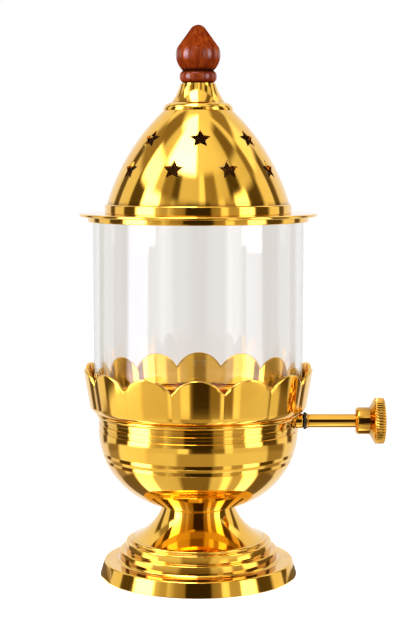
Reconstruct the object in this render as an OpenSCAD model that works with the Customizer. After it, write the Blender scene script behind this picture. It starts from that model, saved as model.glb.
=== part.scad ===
// Akhand diya: a brass oil lamp with a glass chimney and a star-pierced lid.
// Millimetres, +Z up. The foot stands on z = 0, the lamp axis is the Z axis,
// the knob of the wick raiser points along +X and the front of the lamp faces -Y.

/* [Glass chimney] */
// Outside diameter of the glass tube
glass_d = 80; // [79:0.25:81]
// Wall of the glass tube
glass_wall = 2.5; // [2:0.1:3]
// Length of the glass tube
glass_h = 70; // [60:1:85]
// Gap round the glass at the creases between the petals
glass_gap = 0.45; // [0.35:0.05:0.6]

/* [Foot] */
// Diameter of the foot on the table
foot_d = 76; // [72:0.2:80]
// Height of the foot up to the bowl
foot_h = 27.6; // [26.5:0.1:30]
// Height of the wall at the bottom of the foot
base_h = 5.8; // [5:0.1:6.4]
// How far that wall leans in over its height
base_taper = 1.7; // [0.6:0.1:2.4]
// Height of the cove between that wall and the first tier
cove_h = 0.8; // [0.5:0.1:1.2]
// Diameter of the lower tier
tier_low_d = 60.6; // [58.2:0.2:62]
// Height of the lower tier
tier_low_h = 3.4; // [3:0.1:4]
// Diameter of the upper tier
tier_high_d = 56; // [53.6:0.2:57]
// Height of the upper tier
tier_high_h = 3.3; // [2.8:0.1:3.8]
// Diameter of the thin ring under the trumpet
foot_ring_d = 52.2; // [50.8:0.2:52.6]
// Height of the thin ring under the trumpet
foot_ring_h = 1.1; // [0.8:0.1:1.5]
// Ledge between the thin ring and the trumpet
foot_ring_ledge = 0.9; // [0.6:0.1:1.4]
// Diameter of the neck that carries the bowl
neck_d = 27; // [25:0.2:30]
// Radius of the hollow sweep of the trumpet
trumpet_r = 22; // [18:0.5:30]
// Wall of the hollow foot
foot_wall = 2.2; // [1.8:0.1:2.6]
// Thickness of the plate across the top of the neck
neck_plate_t = 6.3; // [5.5:0.1:7]
// Diameter of the hollow below that plate
neck_hollow_d = 18; // [17:0.5:20]

/* [Bowl] */
// Outside diameter of the bowl
bowl_d = 76.8; // [76:0.2:77.4]
// Height of the bowl from the foot to its rim
bowl_h = 36.4; // [35.4:0.2:38]
// Diameter of the flat bottom of the bowl
bowl_flat_d = 32; // [30:0.5:38]
// Height of the straight band under the rim
bowl_band_h = 7; // [6:0.1:8.5]
// Wall of the bowl
bowl_wall = 1.5; // [1.2:0.1:1.8]
// Thickness of the flat bottom of the bowl
bowl_floor = 2; // [1.6:0.1:2.6]
// Radius of the bead round the rim
rim_bead_r = 0.9; // [0.6:0.05:1.1]
// Distance from the rim down to the upper pair of grooves
groove_high_drop = 5.0; // [4.4:0.1:6]
// Distance from the rim down to the lower pair of grooves
groove_low_drop = 17.3; // [15:0.1:20]
// Distance between the two grooves of a pair
groove_pitch = 2.7; // [2.2:0.1:3.2]
// Radius of the tool mark that makes a groove
groove_r = 0.95; // [0.7:0.05:1.1]
// Depth of a groove
groove_depth = 0.45; // [0.2:0.05:0.5]

/* [Bowl fixing] */
// Diameter of the stud brazed under the bowl
stud_d = 6; // [5:0.5:6.5]
// Clearance round the stud
stud_gap = 0.15; // [0.1:0.05:0.25]
// Length of the stud
stud_len = 12.3; // [11.5:0.1:13.5]
// Diameter of the washer on the stud
washer_d = 14; // [13:0.5:15]
// Thickness of the washer on the stud
washer_t = 1; // [0.8:0.1:1.4]
// Width of the nut across its flats
nut_flats = 10; // [9.5:0.1:11]
// Thickness of the nut
nut_t = 4; // [3.5:0.1:4.4]

/* [Petal collar] */
// Number of petals
petal_count = 14; // [13:1:15]
// Height of the petals above the foot of the glass
petal_h = 12.7; // [11.5:0.1:13.5]
// Depth of the notches between the petals
petal_notch = 5.4; // [4.5:0.1:6.2]
// How far the petals lean out
petal_lean = 9.6; // [8:0.2:11]
// Wall of the collar
petal_wall = 1.2; // [1:0.05:1.35]
// Outer radius of the bend at the bottom of the collar
petal_bend = 2.9; // [2.7:0.05:3.1]
// How far the middle of each petal stands out past its edges
petal_bulge = 0.45; // [0.3:0.05:0.55]
// Inside diameter of the flange at the bottom of the collar
collar_hole_d = 72; // [71.4:0.1:72.8]

/* [Glass seat] */
// Diameter of the hole through the seat
seat_hole_d = 59; // [58:0.2:61]
// Thickness of the seat
seat_t = 3; // [2.8:0.1:3.3]
// How much smaller than the glass the seat is all round
seat_inset = 0.1; // [0:0.05:0.25]
// Bevel along the bottom edge of the seat
seat_bevel = 1.4; // [1.3:0.05:1.7]
// Gap between the glass and the lip inside it
lip_gap = 0.6; // [0.35:0.05:0.9]
// Thickness of the lip
lip_t = 1.9; // [1.4:0.1:2.2]
// Height of the lip
lip_h = 1.5; // [1:0.1:2.2]

/* [Burner] */
// Length of the bridge across the seat
bridge_len = 66; // [65.2:0.1:66.8]
// Width of the bridge
bridge_w = 10; // [9.2:0.2:11]
// Thickness of the bridge
bridge_t = 1.5; // [1.2:0.1:1.8]
// Distance of each bridge screw from the lamp axis
bridge_screw_at = 31.2; // [31:0.05:31.4]
// Diameter of the shank of a bridge screw
bridge_screw_d = 2; // [1.8:0.1:2.2]
// Depth of a bridge screw in the seat
bridge_screw_deep = 2; // [1.6:0.1:2.4]
// Diameter of the head of a bridge screw
bridge_head_d = 3; // [2.8:0.1:3.2]
// Height of the head of a bridge screw
bridge_head_h = 0.9; // [0.7:0.1:1.2]
// Diameter of the wick
wick_d = 6; // [5.5:0.1:6.4]
// Gap round the wick in its tube
wick_gap = 0.35; // [0.25:0.05:0.45]
// Length of the wick
wick_len = 37; // [33:0.5:38]
// How far the wick stands out of its tube
wick_out = 2; // [1.4:0.1:2.2]
// Wall of the wick tube
tube_wall = 0.6; // [0.5:0.05:0.7]
// Length of the wick tube
tube_len = 17.5; // [16.5:0.5:19]
// How far the wick tube stands out over the bridge
tube_out = 1.5; // [1.2:0.1:1.8]

/* [Wick raiser] */
// Distance from the bowl rim down to the spindle
spindle_drop = 3.3; // [3.2:0.05:3.5]
// Diameter of the spindle inside the bowl
journal_d = 3; // [2.8:0.1:3.1]
// Running clearance round the spindle
run_fit = 0.05; // [0.03:0.01:0.08]
// Clearance of parts fixed on or in each other
fix_fit = 0.02; // [0.01:0.01:0.04]
// Number of teeth of the spur wheel
wheel_teeth = 12; // [10:1:14]
// Outer diameter of the spur wheel
wheel_d = 7.4; // [7:0.1:7.8]
// Depth of the teeth of the spur wheel
wheel_tooth = 1.1; // [0.8:0.1:1.2]
// Thickness of the spur wheel
wheel_t = 2; // [1.6:0.1:2.4]
// Gap between the spur wheel and the wick
wheel_gap = 0.3; // [0.2:0.05:0.4]
// Distance of the bracket ears from the wheel's middle plane
ear_at = 6; // [5.6:0.1:6.6]
// Thickness of the bracket
ear_t = 1.2; // [1:0.1:1.4]
// Width of the bracket along the lamp's depth
ear_w = 6; // [5.6:0.1:6.2]
// How far the ears reach below the spindle
ear_below = 3.4; // [3:0.1:4]
// Thickness of the spindle clip
clip_t = 0.6; // [0.5:0.05:0.8]
// Outer diameter of the spindle clip
clip_d = 6; // [5.5:0.1:6.5]
// Play between the clip and the ear
clip_play = 0.2; // [0.1:0.05:0.3]
// How far the spindle stands out past the clip
clip_end = 1; // [0.7:0.1:1.5]
// Diameter of the bush where it goes through the bowl
bush_d = 5; // [4.8:0.1:5.1]
// Diameter of the boss of the bush outside the bowl
boss_d = 5.8; // [5.6:0.1:6]
// How far the boss stands out past the side of the bowl
boss_out = 1.6; // [1.2:0.1:2.2]
// How far the bush reaches into the bowl past the boss end
bush_len = 6.6; // [6:0.1:8]
// Outer diameter of the black packing ring
packing_d = 6.6; // [6.4:0.1:7]
// Thickness of the packing ring
packing_t = 1; // [0.8:0.1:1.3]
// Diameter of the thin washer behind the packing ring
thin_washer_d = 6; // [5.6:0.1:6.2]
// Thickness of the thin washer
thin_washer_t = 0.6; // [0.4:0.1:0.8]
// Play between the thin washer and the rod
washer_play = 0.1; // [0.05:0.05:0.2]
// Diameter of the rod outside the bowl
rod_d = 5.2; // [4.8:0.1:5.6]
// Length of the rod between the washer and the knob
rod_len = 18; // [14:0.5:24]

/* [Knob] */
// Diameter of the hub of the knob
hub_d = 10.4; // [9.6:0.1:11]
// Length of the hub
hub_len = 5.3; // [4.6:0.1:6]
// Bevel at the end of the hub
hub_bevel = 0.8; // [0.5:0.1:1.2]
// Length of the shoulder between hub and rim
shoulder_len = 2; // [1.6:0.1:2.6]
// Diameter over the ridges of the rim
rim_d = 17.5; // [16.5:0.1:18.5]
// Width of the ridged rim
rim_w = 3.6; // [3:0.1:4.4]
// Number of ridges round the rim
rim_ridges = 50; // [40:1:60]
// Depth of the ridges
ridge_depth = 0.35; // [0.2:0.05:0.45]
// How far the end face of the knob is domed
face_dome = 1; // [0.6:0.1:1.3]
// Diameter of the spigot of the rod in the knob
spigot_d = 4; // [3.6:0.1:4.4]
// Length of the spigot of the rod in the knob
spigot_len = 6; // [5:0.1:7]

/* [Lid] */
// Diameter of the brim
brim_d = 90.4; // [88:0.2:94]
// Thickness of the brim
brim_t = 1.2; // [1:0.05:1.5]
// How far the brim reaches in past the inside of the dome
brim_in = 0.1; // [-0.2:0.05:0.4]
// Thickness of the skirt under the brim
skirt_t = 1.5; // [1.2:0.1:1.8]
// Depth of the skirt under the brim
skirt_h = 2; // [1.5:0.1:3]
// Gap between the skirt and the glass
skirt_gap = 0.5; // [0.35:0.05:0.7]
// How far the ring round the foot of the dome stands out past it
dome_ring_out = 0.8; // [0.5:0.05:1.3]
// Height of the ring round the foot of the dome
dome_ring_h = 3.5; // [3:0.1:4]
// Diameter of the dome above that ring
dome_d = 69.4; // [69:0.1:69.8]
// Height of the dome above that ring
dome_h = 35.3; // [34:0.1:37]
// Diameter of the flat crown of the dome
crown_d = 26; // [25.6:0.1:26.8]
// Radius of the curve of the dome
dome_curve_r = 80; // [70:1:100]
// Wall of the dome
dome_wall = 1; // [0.8:0.05:1.2]
// Number of stars in the upper row
star_high_count = 7; // [5:1:8]
// Height of the upper row of stars above the ring
star_high_at = 24.3; // [23.4:0.1:25]
// Number of stars in the lower row
star_low_count = 9; // [6:1:10]
// Height of the lower row of stars above the ring
star_low_at = 13.1; // [12:0.1:14]
// Radius of a star to its points
star_r = 4.1; // [3.4:0.05:4.4]
// Radius of a star to its inner corners
star_in_r = 2.05; // [1.6:0.05:2.2]
// How far the lid is turned round on the glass
lid_turn = 2.3; // [0:0.1:20]

/* [Finial] */
// Diameter of the bead under the neck
bead_d = 26.4; // [25:0.2:27]
// Height of the bead under the neck
bead_h = 2.8; // [2.4:0.1:3.2]
// Diameter of the bottom of the neck
finial_neck_low_d = 20.6; // [19:0.2:22]
// Diameter of the top of the neck
finial_neck_d = 13.2; // [13:0.1:15]
// Height of the neck
finial_neck_h = 7.2; // [6:0.1:9]
// Radius of the hollow sweep of the neck
finial_neck_r = 12; // [10:0.5:18]
// Diameter of the wooden ring
wood_ring_d = 14.1; // [13.8:0.1:15]
// Height of the wooden ring
wood_ring_h = 5.1; // [4.6:0.1:5.6]
// Diameter of the bud
bud_d = 16.8; // [16.2:0.1:18]
// Height of the widest place of the bud above the neck
bud_at = 10.9; // [10.4:0.1:11.4]
// Height of the whole wooden finial
finial_h = 21.9; // [21.2:0.1:24]
// Radius of the rounded tip
tip_r = 1.4; // [0.8:0.1:1.6]
// Diameter of the finial screw
finial_screw_d = 3.5; // [3:0.1:3.8]
// Length of the finial screw above its washer
finial_screw_len = 24; // [20:0.5:25]
// Clearance hole for the finial screw, more than its diameter
finial_screw_gap = 0.4; // [0.3:0.05:0.6]
// Diameter of the head of the finial screw
finial_head_d = 7; // [6.4:0.1:7.6]
// Height of the head of the finial screw
finial_head_h = 2.2; // [1.8:0.1:2.6]
// Diameter of the washer under that head
finial_washer_d = 10; // [9:0.1:11]
// Thickness of the washer under that head
finial_washer_t = 0.8; // [0.6:0.1:1]

/* [Hidden] */
$fn = 96;
eps = 0.01;

// Radii from the diameters above
glass_r = glass_d / 2;
foot_r = foot_d / 2;
neck_r = neck_d / 2;
bowl_r = bowl_d / 2;
wick_r = wick_d / 2;
wheel_r = wheel_d / 2;
journal_r = journal_d / 2;

// Heights of the foot
z_cove = base_h + cove_h;
z_tier_low = z_cove + tier_low_h;
z_tier_high = z_tier_low + tier_high_h;
z_foot_ring = z_tier_high + foot_ring_h;
z_plate = foot_h - neck_plate_t;
flare_r = foot_ring_d / 2 - foot_ring_ledge;

// Heights of the lamp
z_rim = foot_h + bowl_h;
z_band = z_rim - bowl_band_h;
z_flange = z_rim + petal_wall;
z_seat = z_flange + seat_t;
z_petal = z_seat + petal_h;
z_bridge = z_seat + bridge_t;
z_tube = z_bridge + tube_out;
z_wick = z_tube + wick_out;
z_brim = z_seat + glass_h;
z_dome_ring = z_brim + brim_t;
dome_ring_d = dome_d + 2 * dome_ring_out;
brim_hole_d = dome_d - 2 * dome_wall - 2 * brim_in;
z_dome = z_dome_ring + dome_ring_h;
z_crown = z_dome + dome_h;
z_bead = z_crown + bead_h;
z_neck = z_bead + finial_neck_h;

// Curve of the bowl: upright at the band, cut off flat at the foot
bowl_flat_r = bowl_flat_d / 2;
bowl_in = bowl_r - bowl_flat_r;
bowl_rise = z_band - foot_h;
bowl_curve_r = (bowl_in * bowl_in + bowl_rise * bowl_rise) / (2 * bowl_in);
bowl_cx = bowl_r - bowl_curve_r;

// Petals: each one curves round an axis of its own, which stands off the lamp axis
petal_half = 180 / petal_count;
petal_in_r = glass_r + glass_gap + petal_bulge;
petal_side = petal_in_r * sin(petal_half);
petal_round = (petal_in_r - petal_bulge) * cos(petal_half);
petal_sag = petal_in_r - petal_round;
petal_own_r = (petal_side * petal_side + petal_sag * petal_sag) / (2 * petal_sag);
petal_axis = petal_in_r - petal_own_r;
petal_out_r = petal_in_r + petal_wall / cos(petal_lean);
bend_z = z_rim + petal_bend;
bend_r = petal_out_r - (petal_bend + (z_seat - bend_z) * sin(petal_lean)) / cos(petal_lean);
petal_tip_r = petal_out_r + petal_h * tan(petal_lean);
notch_side = petal_tip_r * tan(petal_half);
petal_arc_r = (notch_side * notch_side + petal_notch * petal_notch) / (2 * petal_notch);

// Glass seat
seat_r = glass_r - seat_inset;
lip_r = glass_r - glass_wall - lip_gap;

// Wick raiser
tube_in_r = wick_r + wick_gap;
tube_r = tube_in_r + tube_wall;
spindle_y = -(wick_r + wheel_gap + wheel_r);
spindle_z = z_rim - spindle_drop;
journal_hole_r = journal_r + run_fit;
clip_x = -(ear_at + ear_t / 2 + clip_play);
boss_end = bowl_r + boss_out;
washer_x = boss_end + packing_t;
rod_x = washer_x + thin_washer_t + washer_play;
knob_x = rod_x + rod_len;

// Dome curve through the top of its ring and the edge of the crown
dome_c = arc_centre([dome_d / 2, z_dome], [crown_d / 2, z_crown], dome_curve_r);

// Finial
z_bud = z_neck + bud_at;
z_tip = z_neck + finial_h - tip_r;
bud_r = bud_d / 2;
bud_slope = asin((bud_r - tip_r) / (z_tip - z_bud));
z_crown_in = z_crown - dome_wall;
z_head = z_crown_in - finial_washer_t;
screw_hole_r = (finial_screw_d + finial_screw_gap) / 2;

// Colours for the construction view
BRASS = [0.86, 0.62, 0.22];
DARK_BRASS = [0.7, 0.5, 0.2];
STEEL = [0.7, 0.7, 0.72];
GLASS = [0.8, 0.88, 0.9, 0.35];
WOOD = [0.42, 0.15, 0.08];
BLACK = [0.08, 0.08, 0.08];
COTTON = [0.93, 0.9, 0.82];

// Helpers

// Centre of the circle of radius r through p and q, on the left of the way from p to q
function arc_centre(p, q, r) =
  let (d = q - p, l = norm(d), h = sqrt(r * r - l * l / 4))
  (p + q) / 2 + [-d[1], d[0]] / l * h;

// Outside radius of the bowl at height z
function bowl_radius(z) =
  z > z_band ? bowl_r : bowl_cx + sqrt(pow(bowl_curve_r, 2) - pow(z_band - z, 2));

// Corners of a star with its first point up
function star_points(r_out, r_in) =
  [for (i = [0:9]) let (r = i % 2 == 0 ? r_out : r_in, a = 90 + 36 * i) [r * cos(a), r * sin(a)]];

// Corners of a toothed disc
function toothed(n, r_out, r_in) =
  [for (i = [0:2 * n - 1]) let (r = i % 2 == 0 ? r_out : r_in, a = 180 * i / n) [r * cos(a), r * sin(a)]];

// A rectangle from one corner to the other
module block(p, q) {
  translate(p)
    square(q - p);
}

// A ring or disc between two heights
module ring(r_out, r_in, z0, z1) {
  rotate_extrude()
    block([r_in, z0], [r_out, z1]);
}

// Puts a shape turned round Z onto the spindle, with its Z along +X
module on_spindle() {
  translate([0, spindle_y, spindle_z])
    rotate([0, 90, 0])
      children();
}

// Foot: a hollow stepped casting with a trumpet neck
module foot_outline() {
  low_r = tier_low_d / 2;
  high_r = tier_high_d / 2;
  trumpet_c = arc_centre([neck_r, foot_h], [flare_r, z_foot_ring], trumpet_r);
  polygon([[0, 0], [foot_r, 0], [foot_r - base_taper, base_h], [low_r, base_h], [0, base_h]]);
  difference() {
    block([0, base_h - eps], [low_r + 2 * cove_h, z_cove]);
    translate([low_r + 2 * cove_h, z_cove + cove_h])
      circle(2 * cove_h);
  }
  block([0, z_cove - eps], [low_r, z_tier_low]);
  block([0, z_tier_low - eps], [high_r, z_tier_high]);
  block([0, z_tier_high - eps], [foot_ring_d / 2, z_foot_ring]);
  difference() {
    block([0, z_foot_ring - eps], [flare_r, foot_h]);
    translate(trumpet_c)
      circle(trumpet_r, $fn = 240);
  }
}

module foot_hollow() {
  low_r = tier_low_d / 2 - foot_wall;
  high_r = tier_high_d / 2 - foot_wall;
  base_r = foot_r - base_taper - foot_wall;
  polygon([
    [0, -1], [base_r + base_taper, -1], [base_r + base_taper, 0], [base_r, base_h - foot_wall],
    [low_r, base_h - foot_wall], [low_r, z_tier_low - foot_wall], [high_r, z_tier_low - foot_wall],
    [high_r, z_tier_high - foot_wall], [neck_hollow_d / 2, z_foot_ring], [neck_hollow_d / 2, z_plate],
    [0, z_plate]
  ]);
}

module foot() {
  color(BRASS)
    difference() {
      rotate_extrude()
        foot_outline();
      rotate_extrude()
        foot_hollow();
      translate([0, 0, z_plate - 1])
        cylinder(r = stud_d / 2 + stud_gap, h = neck_plate_t + 2);
    }
}

// Washer and nut that hold the bowl on the foot from below
module foot_washer() {
  color(STEEL)
    ring(washer_d / 2, stud_d / 2 + stud_gap, z_plate - washer_t, z_plate);
}

module foot_nut() {
  color(STEEL)
    translate([0, 0, z_plate - washer_t - nut_t])
      difference() {
        cylinder(d = nut_flats / cos(30), h = nut_t, $fn = 6);
        translate([0, 0, -1])
          cylinder(r = stud_d / 2 + fix_fit, h = nut_t + 2);
      }
}

// Stud brazed to the underside of the bowl
module bowl_stud() {
  color(STEEL)
    translate([0, 0, foot_h - stud_len])
      cylinder(d = stud_d, h = stud_len);
}

// Bowl: the oil vessel, with a beaded rim and two pairs of grooves
module bowl_shape(inset, z_floor) {
  intersection() {
    translate([bowl_cx, z_band])
      circle(bowl_curve_r - inset, $fn = 360);
    block([0, z_floor], [bowl_r + 1, z_band]);
  }
}

module bowl_section() {
  difference() {
    union() {
      bowl_shape(0, foot_h);
      block([0, z_band - eps], [bowl_r, z_rim]);
      translate([bowl_r, z_rim - rim_bead_r])
        circle(rim_bead_r, $fn = 48);
    }
    bowl_shape(bowl_wall, foot_h + bowl_floor);
    block([-1, z_band - 2 * eps], [bowl_r - bowl_wall, z_rim + 1]);
    for (drop = [groove_high_drop, groove_low_drop])
      for (side = [-1, 1]) {
        z = z_rim - drop - side * groove_pitch / 2;
        translate([bowl_radius(z) + groove_r - groove_depth, z])
          circle(groove_r, $fn = 48);
      }
  }
}

module bowl() {
  color(BRASS)
    difference() {
      rotate_extrude()
        bowl_section();
      on_spindle()
        cylinder(r = bush_d / 2 + fix_fit, h = boss_end);
    }
}

// Petal collar: a lotus of petals round the foot of the glass
module petal_section() {
  up = [sin(petal_lean), cos(petal_lean)];
  out = [cos(petal_lean), -sin(petal_lean)];
  c = [bend_r, bend_z];
  rise = petal_h + seat_t + 2;
  translate(c)
    intersection() {
      difference() {
        circle(petal_bend);
        circle(petal_bend - petal_wall);
      }
      polygon([[0, 0], [0, -2 * petal_bend], 2 * petal_bend * [1, -1], 2 * petal_bend * out]);
    }
  polygon([
    c + petal_bend * out, c + petal_bend * out + rise * up,
    c + (petal_bend - petal_wall) * out + rise * up, c + (petal_bend - petal_wall) * out
  ]);
  block([petal_axis + 8, z_rim], [bend_r, z_flange]);
}

module petal() {
  wedge = 60;
  intersection() {
    translate([petal_axis, 0, 0])
      rotate_extrude()
        translate([-petal_axis, 0])
          petal_section();
    linear_extrude(z_petal + 1)
      polygon([[0, 0], wedge * [1, -tan(petal_half)], wedge * [1, tan(petal_half)]]);
    rotate([90, 0, 90])
      linear_extrude(wedge)
        union() {
          translate([0, z_petal - petal_arc_r])
            circle(petal_arc_r);
          block([-2 * petal_arc_r, z_rim - 1], [2 * petal_arc_r, z_petal - petal_arc_r]);
        }
  }
}

module petal_collar() {
  color(BRASS)
    difference() {
      union() {
        for (i = [0:petal_count - 1])
          rotate(360 * i / petal_count - 90)
            petal();
      }
      translate([0, 0, z_rim - 1])
        cylinder(d = collar_hole_d, h = petal_wall + 2);
    }
}

// Seat: the turned ring the glass stands on, with a lip inside the glass
module glass_seat() {
  color(BRASS)
    difference() {
      rotate_extrude()
        polygon([
          [seat_hole_d / 2, z_flange], [seat_r - seat_bevel, z_flange],
          [seat_r, z_flange + seat_bevel], [seat_r, z_seat], [lip_r, z_seat],
          [lip_r, z_seat + lip_h], [lip_r - lip_t, z_seat + lip_h], [lip_r - lip_t, z_seat],
          [seat_hole_d / 2, z_seat]
        ]);
      bridge_screw_places()
        cylinder(r = bridge_screw_d / 2 + fix_fit, h = bridge_screw_deep + bridge_t + 1);
    }
}

// Burner: a bridge across the seat that holds the wick tube
module bridge_screw_places() {
  for (side = [-1, 1])
    translate([0, side * bridge_screw_at, z_seat - bridge_screw_deep])
      children();
}

module burner_bridge() {
  color(BRASS)
    difference() {
      translate([-bridge_w / 2, -bridge_len / 2, z_seat])
        cube([bridge_w, bridge_len, bridge_t]);
      translate([0, 0, z_seat - 1])
        cylinder(r = tube_r + fix_fit, h = bridge_t + 2);
      bridge_screw_places()
        cylinder(r = bridge_screw_d / 2 + fix_fit, h = bridge_screw_deep + bridge_t + 1);
    }
}

module bridge_screws() {
  color(DARK_BRASS)
    bridge_screw_places() {
      cylinder(d = bridge_screw_d, h = bridge_screw_deep + bridge_t);
      translate([0, 0, bridge_screw_deep + bridge_t])
        cylinder(d = bridge_head_d, h = bridge_head_h);
    }
}

module wick_tube() {
  window_z = sqrt(pow(wheel_r, 2) - pow(wheel_r + wheel_gap + wick_r - tube_r, 2)) + 1;
  window_x = wheel_t / 2 + 0.7;
  color(BRASS)
    difference() {
      ring(tube_r, tube_in_r, z_tube - tube_len, z_tube);
      translate([-window_x, -tube_r - 1, spindle_z - window_z])
        cube([2 * window_x, tube_r + 1, 2 * window_z]);
    }
}

module wick() {
  color(COTTON)
    translate([0, 0, z_wick - wick_len])
      cylinder(r = wick_r, h = wick_len);
}

// Bracket: an upside-down U under the bridge with a bearing hole in each ear
module spindle_bracket() {
  half = ear_at + ear_t / 2;
  color(BRASS)
    difference() {
      translate([-half, spindle_y - ear_w / 2, spindle_z - ear_below])
        cube([2 * half, ear_w, z_seat - spindle_z + ear_below]);
      translate([ear_t - half, spindle_y - ear_w / 2 - 1, spindle_z - ear_below - 1])
        cube([2 * (half - ear_t), ear_w + 2, z_seat - ear_t - spindle_z + ear_below + 1]);
      on_spindle()
        translate([0, 0, -half - 1])
          cylinder(r = journal_hole_r, h = 2 * half + 2);
      translate([0, 0, z_seat - 2 * ear_t])
        cylinder(r = tube_r + fix_fit, h = 3 * ear_t);
    }
}

// The round of the bowl with its rim bead, grown by a gap
module bowl_side(gap) {
  cylinder(r = bowl_r + gap, h = z_rim + gap);
  translate([0, 0, z_rim - 2 * rim_bead_r - gap])
    cylinder(r = bowl_r + rim_bead_r + gap, h = 2 * (rim_bead_r + gap));
}

// Bush: brazed into the bowl wall, its boss cut to the round of the bowl
module spindle_bush() {
  boss_r = boss_d / 2;
  color(BRASS)
    difference() {
      on_spindle()
        union() {
          translate([0, 0, boss_end - bush_len])
            cylinder(d = bush_d, h = bush_len - 0.5);
          difference() {
            rotate_extrude()
              union() {
                block([0, boss_end - 5], [boss_r - 0.8, boss_end]);
                block([0, boss_end - 5], [boss_r, boss_end - 0.8]);
                translate([boss_r - 0.8, boss_end - 0.8])
                  circle(0.8);
              }
            rotate([0, -90, 0])
              translate([0, -spindle_y, -spindle_z])
                difference() {
                  bowl_side(fix_fit);
                  on_spindle()
                    cylinder(d = bush_d, h = boss_end);
                }
          }
        }
      on_spindle()
        translate([0, 0, boss_end - bush_len - 1])
          cylinder(r = journal_hole_r, h = bush_len + 2);
    }
}

// Packing ring: the black seal against the end of the boss
module packing_ring() {
  color(BLACK)
    on_spindle()
      ring(packing_d / 2, journal_hole_r, boss_end, washer_x);
}

// Spindle: thin inside the bowl, a thicker rod outside it, a spigot for the knob
module spindle() {
  x_in = clip_x - clip_t - clip_end;
  color(BRASS)
    on_spindle()
      rotate_extrude()
        union() {
          block([0, x_in], [journal_r, rod_x + eps]);
          block([0, rod_x], [rod_d / 2, knob_x]);
          block([0, knob_x - eps], [spigot_d / 2, knob_x + spigot_len]);
        }
}

// Spur wheel: its teeth press into the wick and lift it
module spur_wheel() {
  color(DARK_BRASS)
    on_spindle()
      translate([0, 0, -wheel_t / 2])
        difference() {
          linear_extrude(wheel_t)
            polygon(toothed(wheel_teeth, wheel_r, wheel_r - wheel_tooth));
          translate([0, 0, -1])
            cylinder(r = journal_r + fix_fit, h = wheel_t + 2);
        }
}

// Clip: keeps the spindle from being pulled out
module spindle_clip() {
  color(STEEL)
    on_spindle()
      difference() {
        ring(clip_d / 2, journal_r + fix_fit, clip_x - clip_t, clip_x);
        translate([-clip_d, -journal_r * 0.7, clip_x - clip_t - 1])
          cube([clip_d, journal_r * 1.4, clip_t + 2]);
      }
}

module spindle_washer() {
  color(BRASS)
    on_spindle()
      ring(thin_washer_d / 2, journal_r + fix_fit, washer_x, washer_x + thin_washer_t);
}

// Knob: a hub, a round shoulder and a ridged rim with a domed face
module wick_knob() {
  hub_r = hub_d / 2;
  rim_r = rim_d / 2;
  in_r = rim_r - ridge_depth;
  core_r = in_r - 0.3;
  x_shoulder = knob_x + hub_len;
  x_rim = x_shoulder + shoulder_len;
  x_face = x_rim + rim_w;
  face_r = (core_r * core_r + face_dome * face_dome) / (2 * face_dome);
  color(BRASS)
    on_spindle()
      difference() {
        union() {
          rotate_extrude()
            polygon([
              [0, knob_x], [hub_r - hub_bevel, knob_x], [hub_r, knob_x + hub_bevel],
              [hub_r, x_shoulder], [core_r - 0.6, x_rim - 0.7], [core_r, x_rim + 0.2],
              [core_r, x_face], [0, x_face]
            ]);
          translate([0, 0, x_rim])
            linear_extrude(rim_w)
              polygon(toothed(rim_ridges, rim_r, in_r));
          rotate_extrude()
            intersection() {
              translate([0, x_face + face_dome - face_r])
                circle(face_r, $fn = 240);
              block([0, x_face - eps], [core_r, x_face + 2 * face_dome]);
            }
        }
        translate([0, 0, knob_x - 1])
          cylinder(r = spigot_d / 2 + fix_fit, h = spigot_len + 1);
      }
}

// Glass chimney: a plain tube that lifts out of the petals
module glass_chimney() {
  color(GLASS)
    ring(glass_r, glass_r - glass_wall, z_seat, z_brim);
}

// Lid brim: a flat ring with a round edge and a skirt round the glass
module lid_brim() {
  skirt_r = glass_r + skirt_gap;
  edge_r = brim_t / 2;
  color(BRASS)
    rotate_extrude()
      union() {
        block([brim_hole_d / 2, z_brim], [brim_d / 2 - edge_r, z_brim + brim_t]);
        translate([brim_d / 2 - edge_r, z_brim + edge_r])
          circle(edge_r, $fn = 48);
        block([skirt_r, z_brim - skirt_h], [skirt_r + skirt_t, z_brim + brim_t]);
      }
}

// Lid dome: a spun shell with two rows of stars cut through it
module dome_section() {
  foot_in = dome_d / 2 - dome_wall;
  intersection() {
    translate(dome_c)
      difference() {
        circle(dome_curve_r, $fn = 360);
        circle(dome_curve_r - dome_wall, $fn = 360);
      }
    block([0, z_dome], [dome_d, z_crown]);
  }
  block([foot_in, z_dome_ring], [dome_ring_d / 2 - 0.6, z_dome + eps]);
  block([foot_in, z_dome_ring], [dome_ring_d / 2, z_dome - 0.6]);
  translate([dome_ring_d / 2 - 0.6, z_dome - 0.6])
    circle(0.6, $fn = 48);
  block([0, z_crown_in], [crown_d / 2, z_crown]);
}

module star_row(count, height, turn) {
  z = z_dome + height;
  r = dome_c[0] + sqrt(pow(dome_curve_r, 2) - pow(z - dome_c[1], 2));
  tilt = atan2(z - dome_c[1], r - dome_c[0]);
  for (i = [0:count - 1])
    rotate(360 * i / count + turn + lid_turn - 90)
      translate([r, 0, z])
        rotate([0, -tilt, 0])
          rotate([90, 0, 90])
            translate([0, 0, -3])
              linear_extrude(6)
                polygon(star_points(star_r, star_in_r));
}

module lid_dome() {
  color(BRASS)
    difference() {
      rotate_extrude()
        dome_section();
      star_row(star_high_count, star_high_at, 0);
      star_row(star_low_count, star_low_at, 180 / star_low_count);
      translate([0, 0, z_crown - 5])
        cylinder(r = screw_hole_r, h = 10);
    }
}

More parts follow.
